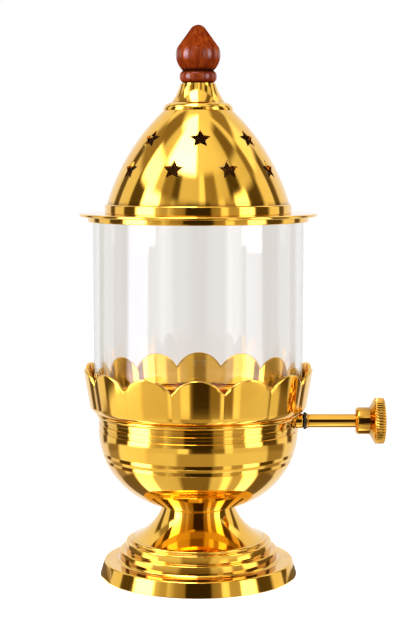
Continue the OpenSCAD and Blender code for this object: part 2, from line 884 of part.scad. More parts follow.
// Lid collar: a bead and a hollow neck under the wooden finial
module lid_collar() {
  neck_c = arc_centre([finial_neck_d / 2, z_neck], [finial_neck_low_d / 2, z_bead], finial_neck_r);
  color(BRASS)
    difference() {
      rotate_extrude()
        union() {
          block([0, z_crown], [bead_d / 2 - bead_h, z_bead]);
          intersection() {
            translate([bead_d / 2 - bead_h, z_crown])
              circle(bead_h, $fn = 90);
            block([0, z_crown], [bead_d / 2, z_bead]);
          }
          difference() {
            block([0, z_bead - eps], [finial_neck_low_d / 2, z_neck]);
            translate(neck_c)
              circle(finial_neck_r, $fn = 180);
          }
        }
      translate([0, 0, z_crown - 1])
        cylinder(r = screw_hole_r, h = bead_h + finial_neck_h + 2);
    }
}

// Finial: a turned wooden ring and bud, drilled for its screw
module lid_finial() {
  ring_r = wood_ring_h / 2;
  out = [cos(bud_slope), sin(bud_slope)];
  color(WOOD)
    difference() {
      rotate_extrude()
        intersection() {
          union() {
            block([0, z_neck], [wood_ring_d / 2 - ring_r, z_bud]);
            translate([wood_ring_d / 2 - ring_r, z_neck + ring_r])
              circle(ring_r, $fn = 90);
            translate([0, z_bud])
              circle(bud_r, $fn = 180);
            polygon([[0, z_bud], [0, z_bud] + bud_r * out, [0, z_tip] + tip_r * out, [0, z_tip]]);
            translate([0, z_tip])
              circle(tip_r, $fn = 60);
          }
          block([0, z_neck], [bud_d, z_neck + finial_h + 1]);
        }
      translate([0, 0, z_neck - 1])
        cylinder(r = finial_screw_d / 2 + fix_fit, h = z_head + finial_screw_len - z_neck + 2);
    }
}

// Screw and washer that hold the finial from inside the dome
module finial_screw() {
  color(STEEL) {
    translate([0, 0, z_head - finial_head_h])
      cylinder(d = finial_head_d, h = finial_head_h);
    translate([0, 0, z_head - eps])
      cylinder(d = finial_screw_d, h = finial_screw_len + eps);
  }
}

module finial_washer() {
  color(STEEL)
    ring(finial_washer_d / 2, screw_hole_r, z_head, z_crown_in);
}

foot();
foot_washer();
foot_nut();
bowl_stud();
bowl();
petal_collar();
glass_seat();
burner_bridge();
bridge_screws();
wick_tube();
wick();
spindle_bracket();
spindle_bush();
packing_ring();
spindle();
spur_wheel();
spindle_clip();
spindle_washer();
wick_knob();
glass_chimney();
lid_brim();
lid_dome();
lid_collar();
lid_finial();
finial_screw();
finial_washer();
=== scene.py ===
# %% [markdown]
# # A brass oil lamp with a glass chimney
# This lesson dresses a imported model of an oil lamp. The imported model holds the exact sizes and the
# ways the lamp moves. Here each visible piece is turned, cut or twisted again as a smooth mesh,
# gets a finish, and then rides on the body that carries it.

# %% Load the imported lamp
from math import asin, atan2, cos, degrees, pi, radians, sin, sqrt, tan

import bmesh
import bpy
from mathutils import Matrix, Vector


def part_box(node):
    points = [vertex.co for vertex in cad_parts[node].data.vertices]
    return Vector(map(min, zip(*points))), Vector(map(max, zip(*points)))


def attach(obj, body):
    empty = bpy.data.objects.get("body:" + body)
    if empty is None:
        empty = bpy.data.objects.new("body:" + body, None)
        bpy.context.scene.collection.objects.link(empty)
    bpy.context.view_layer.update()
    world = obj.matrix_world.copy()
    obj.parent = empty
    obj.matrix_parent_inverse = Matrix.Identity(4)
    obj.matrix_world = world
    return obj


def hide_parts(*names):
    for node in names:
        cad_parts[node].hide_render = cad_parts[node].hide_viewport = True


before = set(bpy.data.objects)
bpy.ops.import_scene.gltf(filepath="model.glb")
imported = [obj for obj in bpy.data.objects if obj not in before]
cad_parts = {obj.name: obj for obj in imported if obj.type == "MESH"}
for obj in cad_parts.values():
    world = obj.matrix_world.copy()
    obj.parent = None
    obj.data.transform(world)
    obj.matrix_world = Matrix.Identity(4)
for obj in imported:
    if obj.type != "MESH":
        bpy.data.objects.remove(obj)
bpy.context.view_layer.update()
MM = 0.001

# %% [markdown]
# ## The camera
# The lamp was seen from about the height of its stars, from far enough away that its upright lines
# stay nearly parallel. A long lens on a camera that tips down by five and a half degrees gives
# that. A short lens close by would bend the ellipses of the foot too much.

# %% Camera
scene = bpy.context.scene
scene.view_settings.view_transform = "Standard"

camera_data = bpy.data.cameras.new("camera")
camera_data.lens = 90.9
camera_data.sensor_width = 36
camera = bpy.data.objects.new("camera", camera_data)
camera.location = (0.0037, -0.600, 0.1594)
aim = Vector((0.0037, 0, 0.1016))
camera.rotation_euler = (aim - camera.location).to_track_quat("-Z", "Y").to_euler()
scene.collection.objects.link(camera)
scene.camera = camera
print("camera tips down", round(degrees(atan2(camera.location.z - aim.z, -camera.location.y)), 1), "degrees")

# %% [markdown]
# ## The room that the brass mirrors
# Polished brass has hardly any look of its own: what it shows is the room. In an all-white room it
# would be a flat yellow patch. Photographers hang dark and bright cloths round polished metal, and
# their upright reflections are what draws its form. Here the cloths are seven colour ramps over the
# way round, one for each height, with soft joins. Dark cloths are brown, which keeps the shaded
# brass warm. A node group works out the colour that lies in any direction from the lamp, so that
# the sky and the floor can both use it. Modelled boards would do as well, but their edges are hard
# and they stop short of the top of the dome.

# %% Room group
def add_node(tree, kind, **settings):
    """A new node of that kind, with its settings."""
    node = tree.nodes.new(kind)
    for name, value in settings.items():
        setattr(node, name, value)
    return node


def mix_colours(tree, factor, first, second):
    """The output of a colour mix. A colour is a tuple or another output."""
    mix = add_node(tree, "ShaderNodeMix", data_type="RGBA")
    tree.links.new(factor, mix.inputs["Factor"])
    for socket, colour in ((mix.inputs[6], first), (mix.inputs[7], second)):
        if isinstance(colour, tuple):
            socket.default_value = (*colour, 1)
        else:
            tree.links.new(colour, socket)
    return mix.outputs[2]


def preset(node, **values):
    """The node, with input values set by name. A _ stands for a space."""
    for label, value in values.items():
        node.inputs[label.replace("_", " ")].default_value = value
    return node


def colour_ramp(tree, value, stops, interpolation="LINEAR"):
    """The colour that a ramp gives to a value. Stops are a position and a colour."""
    ramp = add_node(tree, "ShaderNodeValToRGB")
    ramp.color_ramp.interpolation = interpolation
    spots = ramp.color_ramp.elements
    for at, colour in stops[1:-1]:
        spots.new(at).color = (*colour, 1)
    for spot, (at, colour) in ((spots[0], stops[0]), (spots[len(spots) - 1], stops[-1])):
        spot.position = at
        spot.color = (*colour, 1)
    tree.links.new(value, ramp.inputs["Fac"])
    return ramp.outputs["Color"]


def new_group(name, inputs, outputs):
    """A node group with its input and output nodes. Sockets are a name, a kind and a value."""
    tree = bpy.data.node_groups.new(name, "ShaderNodeTree")
    for label, kind, value in inputs:
        socket = tree.interface.new_socket(label, in_out="INPUT", socket_type="NodeSocket" + kind)
        if value is not None:
            socket.default_value = value
    for label, kind in outputs:
        tree.interface.new_socket(label, in_out="OUTPUT", socket_type="NodeSocket" + kind)
    return tree, add_node(tree, "NodeGroupInput"), add_node(tree, "NodeGroupOutput")


# Pairs of an azimuth, where 0 is the front and right is positive, and a brightness.
FLOOR_CLOSE = [(-124, 1.0), (-117, 0.2), (-83, 0.2), (-77, 3.0), (-56, 3.0), (-52, 0.9), (-24, 0.8),
               (-18, 0.25), (12, 0.25), (16, 0.9), (26, 0.9), (29, 2.0), (36, 2.0), (40, 0.7), (51, 0.7),
               (54, 3.0), (70, 3.0), (75, 0.2), (108, 0.2), (114, 1.0)]
FLOOR_NEAR = [(-124, 1.0), (-117, 0.42), (-99, 0.42), (-94, 1.3), (-60, 1.3), (-54, 1.0), (-24, 0.95),
              (-20, 0.5), (15, 0.5), (19, 0.95), (78, 1.0), (82, 0.4), (106, 0.4), (112, 1.0)]
FLOOR_FAR = [(-124, 1.0), (-117, 0.3), (-99, 0.3), (-94, 1.3), (-60, 1.3), (-54, 0.9), (-22, 0.85),
             (-20, 1.4), (-11, 1.4), (-9, 0.3), (-5, 0.05), (13, 0.05), (16, 0.3), (27, 0.3), (29, 1.4),
             (35, 1.3), (38, 0.85), (78, 0.9), (82, 0.28), (106, 0.28), (112, 1.0)]
EYE_LEVEL = [(-137, 1.0), (-132, 0.14), (-123, 0.14), (-121, 1.0), (-103, 1.0), (-101, 0.12), (-83, 0.10),
             (-77, 7.0), (-56, 7.0), (-53, 0.95), (-44, 0.6), (-38, 0.6), (-36, 0.95), (-27, 0.45),
             (-16, 0.35), (-14, 0.04), (15, 0.04), (17, 0.35), (27, 0.45), (29, 1.5), (36, 1.5), (38, 0.6),
             (51, 0.6), (53, 4.0), (70, 4.0), (74, 0.10), (94, 0.12), (99, 1.1), (116, 1.1), (118, 0.15),
             (127, 0.15), (132, 1.0)]
RAISED = [(-130, 1.05), (-122, 0.4), (-99, 0.35), (-95, 5.0), (-70, 5.0), (-66, 1.0), (-57, 0.95),
          (-53, 0.35), (-40, 0.35), (-36, 0.12), (-29, 0.12), (-25, 0.9), (1, 0.9), (3, 1.6), (9, 1.6),
          (11, 0.4), (26, 0.35), (30, 1.0), (44, 0.9), (48, 0.10), (64, 0.10), (69, 1.0), (88, 0.9),
          (92, 0.3), (100, 0.3), (104, 1.7), (124, 1.5), (132, 1.0)]
OVERHEAD = [(-142, 1.05), (-138, 0.4), (-132, 0.4), (-128, 1.3), (-122, 1.1), (-118, 0.3), (-92, 0.3),
            (-86, 0.95), (-68, 1.1), (-58, 9.0), (-6, 9.0), (-2, 1.3), (40, 1.15), (62, 0.95), (68, 0.22),
            (88, 0.22), (93, 1.1), (100, 1.1), (104, 0.35), (128, 0.35), (134, 1.05)]
ZENITH = [(-180, 1.2), (-110, 1.2), (-95, 2.0), (-80, 8.0), (-8, 8.0), (0, 1.4), (90, 1.2), (180, 1.2)]
JOINS = [(FLOOR_NEAR, -41, -38), (FLOOR_FAR, -22, -19), (EYE_LEVEL, -16, -14), (RAISED, 30, 36),
         (OVERHEAD, 47, 53), (ZENITH, 68, 78)]


def tinted(level):
    """The colour of a cloth of some brightness: dark is brown, and very bright is a cool white."""
    share = min(1.0, level / 0.95)
    cool = 1 + 0.05 * max(0.0, level - 2.0)
    return level, level * (0.70 + 0.30 * share), level * (0.30 + 0.70 * share) * cool


def cloth(tree, round_share, stops):
    """The colour of a ramp over the way round."""
    shares = [((azimuth + 180) / 360, tinted(level)) for azimuth, level in stops]
    return colour_ramp(tree, round_share, shares)


def room_group(name, lowest, joins):
    """A group that gives the colour of the cloths in any direction."""
    tree, way_in, colour_out = new_group(name, [("Way", "Vector", None)], [("Cloth", "Color")])
    unit = add_node(tree, "ShaderNodeVectorMath", operation="NORMALIZE")
    tree.links.new(way_in.outputs["Way"], unit.inputs[0])
    way = add_node(tree, "ShaderNodeSeparateXYZ")
    tree.links.new(unit.outputs[0], way.inputs[0])
    frontward = add_node(tree, "ShaderNodeMath", operation="MULTIPLY")
    frontward.inputs[1].default_value = -1
    tree.links.new(way.outputs["Y"], frontward.inputs[0])
    azimuth_of = add_node(tree, "ShaderNodeMath", operation="ARCTAN2")
    tree.links.new(way.outputs["X"], azimuth_of.inputs[0])
    tree.links.new(frontward.outputs[0], azimuth_of.inputs[1])
    round_share = preset(add_node(tree, "ShaderNodeMapRange"), From_Min=-pi, From_Max=pi)
    tree.links.new(azimuth_of.outputs[0], round_share.inputs["Value"])
    seen = cloth(tree, round_share.outputs[0], lowest)
    for stops, start, end in joins:
        join = add_node(tree, "ShaderNodeMapRange", interpolation_type="SMOOTHSTEP")
        preset(join, From_Min=sin(radians(start)), From_Max=sin(radians(end)))
        tree.links.new(way.outputs["Z"], join.inputs["Value"])
        seen = mix_colours(tree, join.outputs[0], seen, cloth(tree, round_share.outputs[0], stops))
    tree.links.new(seen, colour_out.inputs["Cloth"])
    print("group made:", name, "with", len(tree.nodes), "nodes")
    return tree


room = room_group("mirrored room", FLOOR_CLOSE, JOINS)

# %% [markdown]
# ## The sky
# The world is plain white to the camera. Mirror rays see the cloths. Rays that go straight through
# the glass see an even off-white, so the glass is clear from every side. Those that were mirrored
# on the way, by the rear petals, see light and dark strips. Rays that only gather light see a dim
# white, so that nothing is overlit.

# %% World
THROUGH = [(-166, 0.86), (-150, 0.92), (-112, 0.88), (-98, 0.40), (-75, 0.40), (-60, 0.9), (-50, 2.4),
           (-38, 2.4), (-34, 1.0), (-14, 0.95), (-10, 0.35), (6, 0.35), (10, 0.95), (30, 1.0), (34, 2.4),
           (46, 2.4), (54, 0.9), (75, 0.40), (98, 0.40), (112, 0.88), (150, 0.92), (166, 0.86)]
BEHIND_GLASS = (0.88, 0.863, 0.851)
SKY_SEEN, SKY_GATHERED = 1.0, 0.25
glass_room = room_group("room through glass", THROUGH, [])


def stage_light(tree, place, plain, gathered):
    """A colour for each kind of ray: mirrored, through glass, looked at, or only gathered."""
    path = add_node(tree, "ShaderNodeLightPath")
    colour = (gathered, gathered, gathered)
    rooms = [add_node(tree, "ShaderNodeGroup", node_tree=group) for group in (room, glass_room)]
    for node in rooms:
        tree.links.new(place, node.inputs["Way"])
    through = mix_colours(tree, path.outputs["Glossy Depth"], BEHIND_GLASS, rooms[1].outputs["Cloth"])
    for ray, seen in (("Is Camera Ray", (plain, plain, plain)), ("Is Glossy Ray", rooms[0].outputs["Cloth"]),
                      ("Is Transmission Ray", through)):
        colour = mix_colours(tree, path.outputs[ray], colour, seen)
    return colour


world = bpy.data.worlds.new("sky")
world.use_nodes = True
scene.world = world
sky = world.node_tree
sky_way = add_node(sky, "ShaderNodeTexCoord")
sky_colour = stage_light(sky, sky_way.outputs["Generated"], SKY_SEEN, SKY_GATHERED)
sky.links.new(sky_colour, sky.nodes["Background"].inputs["Color"])
print("world made:", world.name)

# %% [markdown]
# ## The floor
# The floor is a wide pale disc. A little light of its own, shown only to rays that look at it,
# lifts it to white, while its lit part still takes the soft shadow of the lamp. To mirror rays it
# carries on the cloths, as they lie when seen from the middle of the bowl.

# %% Floor
BOWL_EYE = 0.061
FLOOR_R, FLOOR_GREY = 6.0, 0.8


def new_finish(name):
    """A new material, its tree and its shader."""
    material = bpy.data.materials.new(name)
    material.use_nodes = True
    tree = material.node_tree
    return material, tree, tree.nodes["Principled BSDF"]


def new_object(name, bm, *materials):
    """An object in the scene, from a bmesh that is used up."""
    mesh = bpy.data.meshes.new(name)
    bm.to_mesh(mesh)
    bm.free()
    for material in materials:
        mesh.materials.append(material)
    obj = bpy.data.objects.new(name, mesh)
    scene.collection.objects.link(obj)
    return obj


pale, tree, shader = new_finish("pale floor")
preset(shader, Roughness=1.0, Specular_IOR_Level=0.0, Emission_Strength=1.0)
floor_place = add_node(tree, "ShaderNodeTexCoord")
from_bowl = add_node(tree, "ShaderNodeVectorMath", operation="SUBTRACT")
from_bowl.inputs[1].default_value = (0, 0, BOWL_EYE)
tree.links.new(floor_place.outputs["Object"], from_bowl.inputs[0])
tree.links.new(stage_light(tree, from_bowl.outputs[0], FLOOR_GREY, 0.0), shader.inputs["Emission Color"])
path = add_node(tree, "ShaderNodeLightPath")
paint = mix_colours(tree, path.outputs["Is Glossy Ray"], (FLOOR_GREY,) * 3, (0.0, 0.0, 0.0))
tree.links.new(paint, shader.inputs["Base Color"])

disc = bmesh.new()
bmesh.ops.create_circle(disc, cap_ends=True, segments=96, radius=FLOOR_R)
floor = new_object("floor", disc, pale)
print("floor: a disc of", len(floor.data.vertices), "corners")

# %% [markdown]
# ## Soft lamps
# Two tall soft boxes stand in front at the left and the right, and a third hangs over the front.
# They light the wood, the wick and the floor. The brass mirrors the cloths instead, so mirror rays
# don't see the boxes. An area lamp's power is its brightness times its area times pi, so the boxes
# are given a brightness, and the power follows from it.

# %% Soft boxes
def at_azimuth(azimuth, distance, height):
    """A point round the lamp. Azimuth 0 is the front, and the angle grows to the right."""
    a = radians(azimuth)
    return Vector((distance * sin(a), -distance * cos(a), height))


def soft_box(name, azimuth, distance, height, width, tall, brightness):
    """A rectangular lamp that looks at the middle of the brass lamp."""
    data = bpy.data.lights.new(name, "AREA")
    data.shape = "RECTANGLE"
    data.size, data.size_y = width, tall
    data.energy = brightness * width * tall * pi
    lamp = bpy.data.objects.new(name, data)
    lamp.location = at_azimuth(azimuth, distance, height)
    towards = Vector((0, 0, min(height, 0.1))) - lamp.location
    lamp.rotation_euler = towards.to_track_quat("-Z", "Y").to_euler()
    lamp.visible_glossy = False
    scene.collection.objects.link(lamp)
    print(name, "gives", round(data.energy, 2), "W")


soft_box("left box", -65, 0.75, 0.40, 0.30, 0.70, 5.0)
soft_box("right box", 65, 0.75, 0.40, 0.30, 0.70, 5.0)
soft_box("top box", -14, 0.42, 0.80, 0.40, 0.50, 3.0)

# %% [markdown]
# ## A pen and a lathe
# Nearly every piece of this lamp is turned or spun on a lathe. A pen draws half of its section as
# a wire: a line grows the last point, and an arc spins it about a centre. Corners that a maker
# breaks are rounded by a vertex bevel, and one full spin turns the wire into the piece.

# %% Pen and lathe
class Pen:
    """Draws a section in the XZ plane, in millimetres: radius, then height."""

    def __init__(self, radius, height):
        self.bm = bmesh.new()
        self.tip = self.bm.verts.new((radius * MM, 0, height * MM))
        self.rounds = {}

    def line(self, radius, height, rounded=0):
        """A straight line to a point, whose corner may be rounded."""
        self.tip = bmesh.ops.extrude_vert_indiv(self.bm, verts=[self.tip])["verts"][0]
        self.tip.co = (radius * MM, 0, height * MM)
        if rounded:
            self.rounds.setdefault(rounded, []).append(self.tip)
        return self

    def arc(self, centre, radius, height, steps=12):
        """An arc about a centre, by the shorter way, to the direction of a point."""
        here = Vector((self.tip.co.x / MM - centre[0], self.tip.co.z / MM - centre[1]))
        there = Vector((radius - centre[0], height - centre[1]))
        turn = here.angle_signed(there)
        spun = bmesh.ops.spin(
            self.bm, geom=[self.tip], cent=(centre[0] * MM, 0, centre[1] * MM),
            axis=(0, 1, 0), angle=turn, steps=steps)
        self.tip = [v for v in spun["geom_last"] if isinstance(v, bmesh.types.BMVert)][0]
        return self

    def hollow(self, radius, height, curve, steps=16):
        """An arc of a known radius to a point. Its centre lies outside and above."""
        here = Vector((self.tip.co.x, self.tip.co.z)) / MM
        there = Vector((radius, height))
        chord = there - here
        reach = sqrt(curve ** 2 - chord.length_squared / 4)
        centre = (here + there) / 2 + Vector((chord.y, -chord.x)).normalized() * reach
        return self.arc(centre, radius, height, steps)

    def turn(self, steps=160):
        """One full spin of the section about the upright axis."""
        for size, corners in self.rounds.items():
            bmesh.ops.bevel(self.bm, geom=corners, offset=size * MM, offset_type="OFFSET",
                            segments=4, profile=0.5, affect="VERTICES", material=-1)
        bmesh.ops.spin(self.bm, geom=self.bm.verts[:] + self.bm.edges[:], axis=(0, 0, 1),
                       angle=2 * pi, steps=steps, use_merge=True)
        bmesh.ops.remove_doubles(self.bm, verts=self.bm.verts, dist=0.001 * MM)
        bmesh.ops.recalc_face_normals(self.bm, faces=self.bm.faces)
        return self.bm


pieces_made = []


def piece(name, bm, finish, body, nodes, sharp=32):
    """A finished object: smooth but for its sharp edges, riding on its body."""
    obj = new_object(name, bm, *(finish if isinstance(finish, list) else [finish]))
    mesh = obj.data
    mesh.shade_smooth()
    if sharp:
        mesh.set_sharp_from_angle(angle=radians(sharp))
    even = obj.modifiers.new("even shading", "WEIGHTED_NORMAL")
    even.keep_sharp = True
    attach(obj, body)
    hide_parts(*nodes)
    pieces_made.append(obj)
    sides = [round(side / MM, 1) for side in obj.dimensions]
    print(name, "made:", len(mesh.polygons), "faces,", sides, "mm")
    return obj

# %% [markdown]
# ## Marks that several finishes share
# Turned metal and turned wood both carry faint rings from the tool, and both pick up smudges and
# hairline scratches. Each effect is a node group, built once and placed in every finish with its
# own values. The rings are noise over radius and height alone, so they run round the piece.

# %% Turning rings group
def noise(tree, place, scale, detail, distortion=0.0):
    """The value of a noise over a place."""
    node = preset(add_node(tree, "ShaderNodeTexNoise"), Scale=scale, Detail=detail, Distortion=distortion)
    tree.links.new(place, node.inputs["Vector"])
    return node.outputs["Fac"]


def stretched(tree, place, scale, rotation=(0, 0, 0)):
    """A place that a Mapping node has turned and scaled."""
    way = preset(add_node(tree, "ShaderNodeMapping"), Scale=scale, Rotation=rotation)
    tree.links.new(place, way.inputs["Vector"])
    return way.outputs[0]


rings, rings_in, rings_out = new_group(
    "turning rings", [("Place", "Vector", None), ("Rings per mm", "Float", 1.5)], [("Rings", "Float")])
split = add_node(rings, "ShaderNodeSeparateXYZ")
rings.links.new(rings_in.outputs["Place"], split.inputs[0])
flat = add_node(rings, "ShaderNodeCombineXYZ")
rings.links.new(split.outputs["X"], flat.inputs["X"])
rings.links.new(split.outputs["Y"], flat.inputs["Y"])
radius_of = add_node(rings, "ShaderNodeVectorMath", operation="LENGTH")
rings.links.new(flat.outputs[0], radius_of.inputs[0])
section = add_node(rings, "ShaderNodeCombineXYZ")
rings.links.new(radius_of.outputs["Value"], section.inputs["X"])
rings.links.new(split.outputs["Z"], section.inputs["Y"])
per_metre = add_node(rings, "ShaderNodeMath", operation="MULTIPLY")
per_metre.inputs[1].default_value = 1000
rings.links.new(rings_in.outputs["Rings per mm"], per_metre.inputs[0])
ring_noise = preset(add_node(rings, "ShaderNodeTexNoise", noise_dimensions="2D"), Detail=3)
rings.links.new(section.outputs[0], ring_noise.inputs["Vector"])
rings.links.new(per_metre.outputs[0], ring_noise.inputs["Scale"])
rings.links.new(ring_noise.outputs["Fac"], rings_out.inputs["Rings"])
print("group made:", rings.name)

# %% Handling marks group
marks, marks_in, marks_out = new_group(
    "handling marks", [("Place", "Vector", None), ("Smudge size", "Float", 60.0)],
    [("Smudge", "Float"), ("Scratches", "Float")])
smudge = preset(add_node(marks, "ShaderNodeTexNoise"), Detail=4, Distortion=0.6)
marks.links.new(marks_in.outputs["Place"], smudge.inputs["Vector"])
marks.links.new(marks_in.outputs["Smudge size"], smudge.inputs["Scale"])
smudge_mask = preset(add_node(marks, "ShaderNodeMapRange"), From_Min=0.42, From_Max=0.72)
marks.links.new(smudge.outputs["Fac"], smudge_mask.inputs["Value"])
marks.links.new(smudge_mask.outputs[0], marks_out.inputs["Smudge"])
hair_way = stretched(marks, marks_in.outputs["Place"], (2600, 150, 900), (0.4, 0.9, 0.3))
hair_mask = preset(add_node(marks, "ShaderNodeMapRange"), From_Min=0.66, From_Max=0.74)
marks.links.new(noise(marks, hair_way, 1.0, 1), hair_mask.inputs["Value"])
marks.links.new(hair_mask.outputs[0], marks_out.inputs["Scratches"])
print("group made:", marks.name)

# %% [markdown]
# Less light reaches the bottom of a groove, so this group paints that shade into the colour.
# Blender's pointiness is under a half in a hollow and over it on a ridge, so one group turns it into a mask
# of the painted shade.

# %% Groove shade group (painted shade)
hollow_shade, hollow_shade_in, hollow_shade_out = new_group("hollow_shade", [("Reach", "Float", 0.06)], [("Painted shade", "Float")])
geometry = add_node(hollow_shade, "ShaderNodeNewGeometry")
under_half = add_node(hollow_shade, "ShaderNodeMath", operation="SUBTRACT")
under_half.inputs[0].default_value = 0.5
hollow_shade.links.new(geometry.outputs["Pointiness"], under_half.inputs[1])
share = add_node(hollow_shade, "ShaderNodeMath", operation="DIVIDE", use_clamp=True)
hollow_shade.links.new(under_half.outputs[0], share.inputs[0])
hollow_shade.links.new(hollow_shade_in.outputs["Reach"], share.inputs[1])
hollow_shade.links.new(share.outputs[0], hollow_shade_out.inputs["Painted shade"])
print("group made:", hollow_shade.name)

# %% [markdown]
# ## Brass
# Mirror-polished brass is a metal shader with a deep yellow reflection and a thin clear lacquer
# over it. The rings and smudges move its roughness a little, the rings tilt its surface a hair, and
# its grooves are darkened brown as painted shade. Rougher mixes of the same serve for the turned
# inner pieces and the inside of the lid, which is painted nearly black as shade. On a piece turned
# about the spindle, a Mapping node lays the rings about that axis, and a darker copy of the polish
# stands in for its dimmer reflection, as painted shade.

# %% Brass finishes
SPINDLE_Y, SPINDLE_Z = -7.0, 60.7


def place_group(tree, group, place=None, **values):
    """A node that holds a group, with its input values and the place on the surface."""
    node = preset(add_node(tree, "ShaderNodeGroup", node_tree=group), **values)
    if place is not None:
        tree.links.new(place, node.inputs["Place"])
    return node


def scaled(tree, value, low, high):
    """A 0 to 1 output moved to another range."""
    moved = preset(add_node(tree, "ShaderNodeMapRange"), To_Min=low, To_Max=high)
    tree.links.new(value, moved.inputs["Value"])
    return moved.outputs[0]


def add_up(tree, first, second):
    """The sum of two outputs."""
    total = add_node(tree, "ShaderNodeMath", operation="ADD")
    tree.links.new(first, total.inputs[0])
    tree.links.new(second, total.inputs[1])
    return total.outputs[0]


def tilt_surface(tree, shader, height, strength, distance):
    """Tilts a shader's surface by a height, over a distance in millimetres."""
    bump = preset(add_node(tree, "ShaderNodeBump"), Strength=strength, Distance=distance * MM)
    tree.links.new(height, bump.inputs["Height"])
    tree.links.new(bump.outputs[0], shader.inputs["Normal"])


def surface_place(tree, about_spindle=False):
    """Object coordinates, laid about the spindle for the pieces turned on it."""
    coords = add_node(tree, "ShaderNodeTexCoord")
    if not about_spindle:
        return coords.outputs["Object"]
    lay = add_node(tree, "ShaderNodeMapping", vector_type="TEXTURE")
    preset(lay, Location=(0, SPINDLE_Y * MM, SPINDLE_Z * MM), Rotation=(0, radians(90), 0))
    tree.links.new(coords.outputs["Object"], lay.inputs["Vector"])
    return lay.outputs[0]


def brass(name, bright, deep, hollow, smooth, dull, ring_tilt, lacquer, about_spindle=False):
    """A brass finish: two colours, a painted shade colour for its grooves, two roughness values, the tilt of
    its rings and its lacquer.
    """
    material, tree, shader = new_finish(name)
    place = surface_place(tree, about_spindle)
    ring = place_group(tree, rings, place, Rings_per_mm=1.6)
    mark = place_group(tree, marks, place, Smudge_size=55.0)
    # Painted shade: where pointiness marks a groove, the colour is mixed towards the dark third colour.
    shade_mask = place_group(tree, hollow_shade, Reach=0.05)
    cast = mix_colours(tree, scaled(tree, mark.outputs["Smudge"], 0.0, 0.8), bright, deep)
    shaded_cast = mix_colours(tree, scaled(tree, shade_mask.outputs["Painted shade"], 0.0, 0.75), cast, hollow)
    tree.links.new(shaded_cast, shader.inputs["Base Color"])
    rough = add_up(tree, scaled(tree, ring.outputs["Rings"], smooth, dull),
                   scaled(tree, mark.outputs["Smudge"], 0.0, 0.25 * dull))
    rough = add_up(tree, rough, scaled(tree, mark.outputs["Scratches"], 0.0, 0.4 * dull))
    tree.links.new(rough, shader.inputs["Roughness"])
    tilt_surface(tree, shader, ring.outputs["Rings"], ring_tilt, 0.02)
    preset(shader, Metallic=1.0, Coat_Weight=lacquer, Coat_Roughness=0.04, Coat_IOR=1.5)
    print(name, "has", len(tree.nodes), "nodes")
    return material


# The third colour of each finish is the painted shade in its grooves.
POLISHED = dict(bright=(0.90, 0.51, 0.060), deep=(0.82, 0.43, 0.042), hollow=(0.30, 0.13, 0.016),
                smooth=0.03, dull=0.09, ring_tilt=0.10, lacquer=0.2)
TURNED = dict(bright=(0.74, 0.46, 0.12), deep=(0.58, 0.34, 0.08), hollow=(0.20, 0.11, 0.03),
              smooth=0.20, dull=0.36, ring_tilt=0.5, lacquer=0.0)
# The inside of the lid is rough brass painted nearly black as shade, so the stars read dark.
DULL_SHADED = dict(bright=(0.10, 0.042, 0.009), deep=(0.06, 0.024, 0.005), hollow=(0.03, 0.012, 0.004),
            smooth=0.38, dull=0.55, ring_tilt=0.4, lacquer=0.0)
# A darker copy of the polish for the spindle pieces: painted shade for their dimmer reflection.
SPINDLE_SHADED_POLISH = dict(POLISHED, bright=(0.76, 0.40, 0.046), deep=(0.64, 0.30, 0.028))
polished_brass = brass("polished brass", **POLISHED)
shaded_spindle_brass = brass("polished brass on the spindle, darkened as shade", about_spindle=True, **SPINDLE_SHADED_POLISH)
turned_brass = brass("turned brass", **TURNED)
spindle_turned = brass("turned brass on the spindle", about_spindle=True, **TURNED)
shaded_dull_brass = brass("unpolished brass inside the lid, painted dark as shade", **DULL_SHADED)

# %% [markdown]
# ## The foot
# The foot is a heavy casting turned all over: a sloping plinth, two steps, a thin ring and a
# trumpet that narrows to the neck under the bowl. It is hollow below. It could be stacked from
# cylinders, but one section and one spin give it the true coves and broken corners.

# %% Foot
FOOT_TOP = 27.6
foot_pen = Pen(35.8, 0.0).line(38.0, 0.0, 0.35).line(36.3, 5.8, 0.5).line(31.9, 5.8)
foot_pen.arc((31.9, 7.4), 30.5, 6.6, 6).line(30.3, 6.6)
foot_pen.line(30.3, 10.0, 0.45).line(28.0, 10.0, 0.2).line(28.0, 13.3, 0.45)
foot_pen.line(26.1, 13.3, 0.2).line(26.1, 14.4, 0.4).line(25.2, 14.4)
foot_pen.hollow(13.5, FOOT_TOP, 22.0, 40)
foot_pen.line(3.15, FOOT_TOP).line(3.15, 21.3).line(9.0, 21.3, 0.6).line(9.0, 14.4, 0.8)
foot_pen.line(25.8, 11.1, 0.6).line(25.8, 7.8, 0.4).line(28.1, 7.8, 0.4).line(28.1, 3.6, 0.4)
foot_pen.line(34.1, 3.6, 0.4).line(35.8, 0.0)
piece("turned_foot", foot_pen.turn(192), polished_brass, "stand", ["foot"])

# %% [markdown]
# ## The bowl
# The oil bowl is spun from sheet: a round body, a straight band and a rolled bead at the
# rim. Two pairs of grooves run round it. Each groove has an upright floor, so it mirrors the room
# at eye height while the belly around it mirrors the floor. That is why the grooves stand out.

# %% Bowl
BAND_R, BOWL_WALL = 38.4, 1.5
BELLY_CENTRE, BELLY_R = (7.906, 57.0), 30.494
GROOVE_HALF, GROOVE_LIP = 0.8, 0.12
LOW_GROOVES, HIGH_GROOVES = (45.35, 48.05), (57.65, 60.35)
RIM_Z, BEAD_R, FLOOR_Z = 64.0, 0.9, 29.6


def belly(height, inset=0.0):
    """The radius of the bowl at a height: round below, straight in the band."""
    drop = max(0.0, BELLY_CENTRE[1] - height)
    return BELLY_CENTRE[0] + sqrt((BELLY_R - inset) ** 2 - drop ** 2)


def groove(pen, middle, deep):
    """A groove with an upright floor."""
    low, high = middle - GROOVE_HALF, middle + GROOVE_HALF
    pen.line(belly(low) - deep, low + GROOVE_LIP, 0.05)
    pen.line(belly(low) - deep, high - GROOVE_LIP, 0.05).line(belly(high), high)


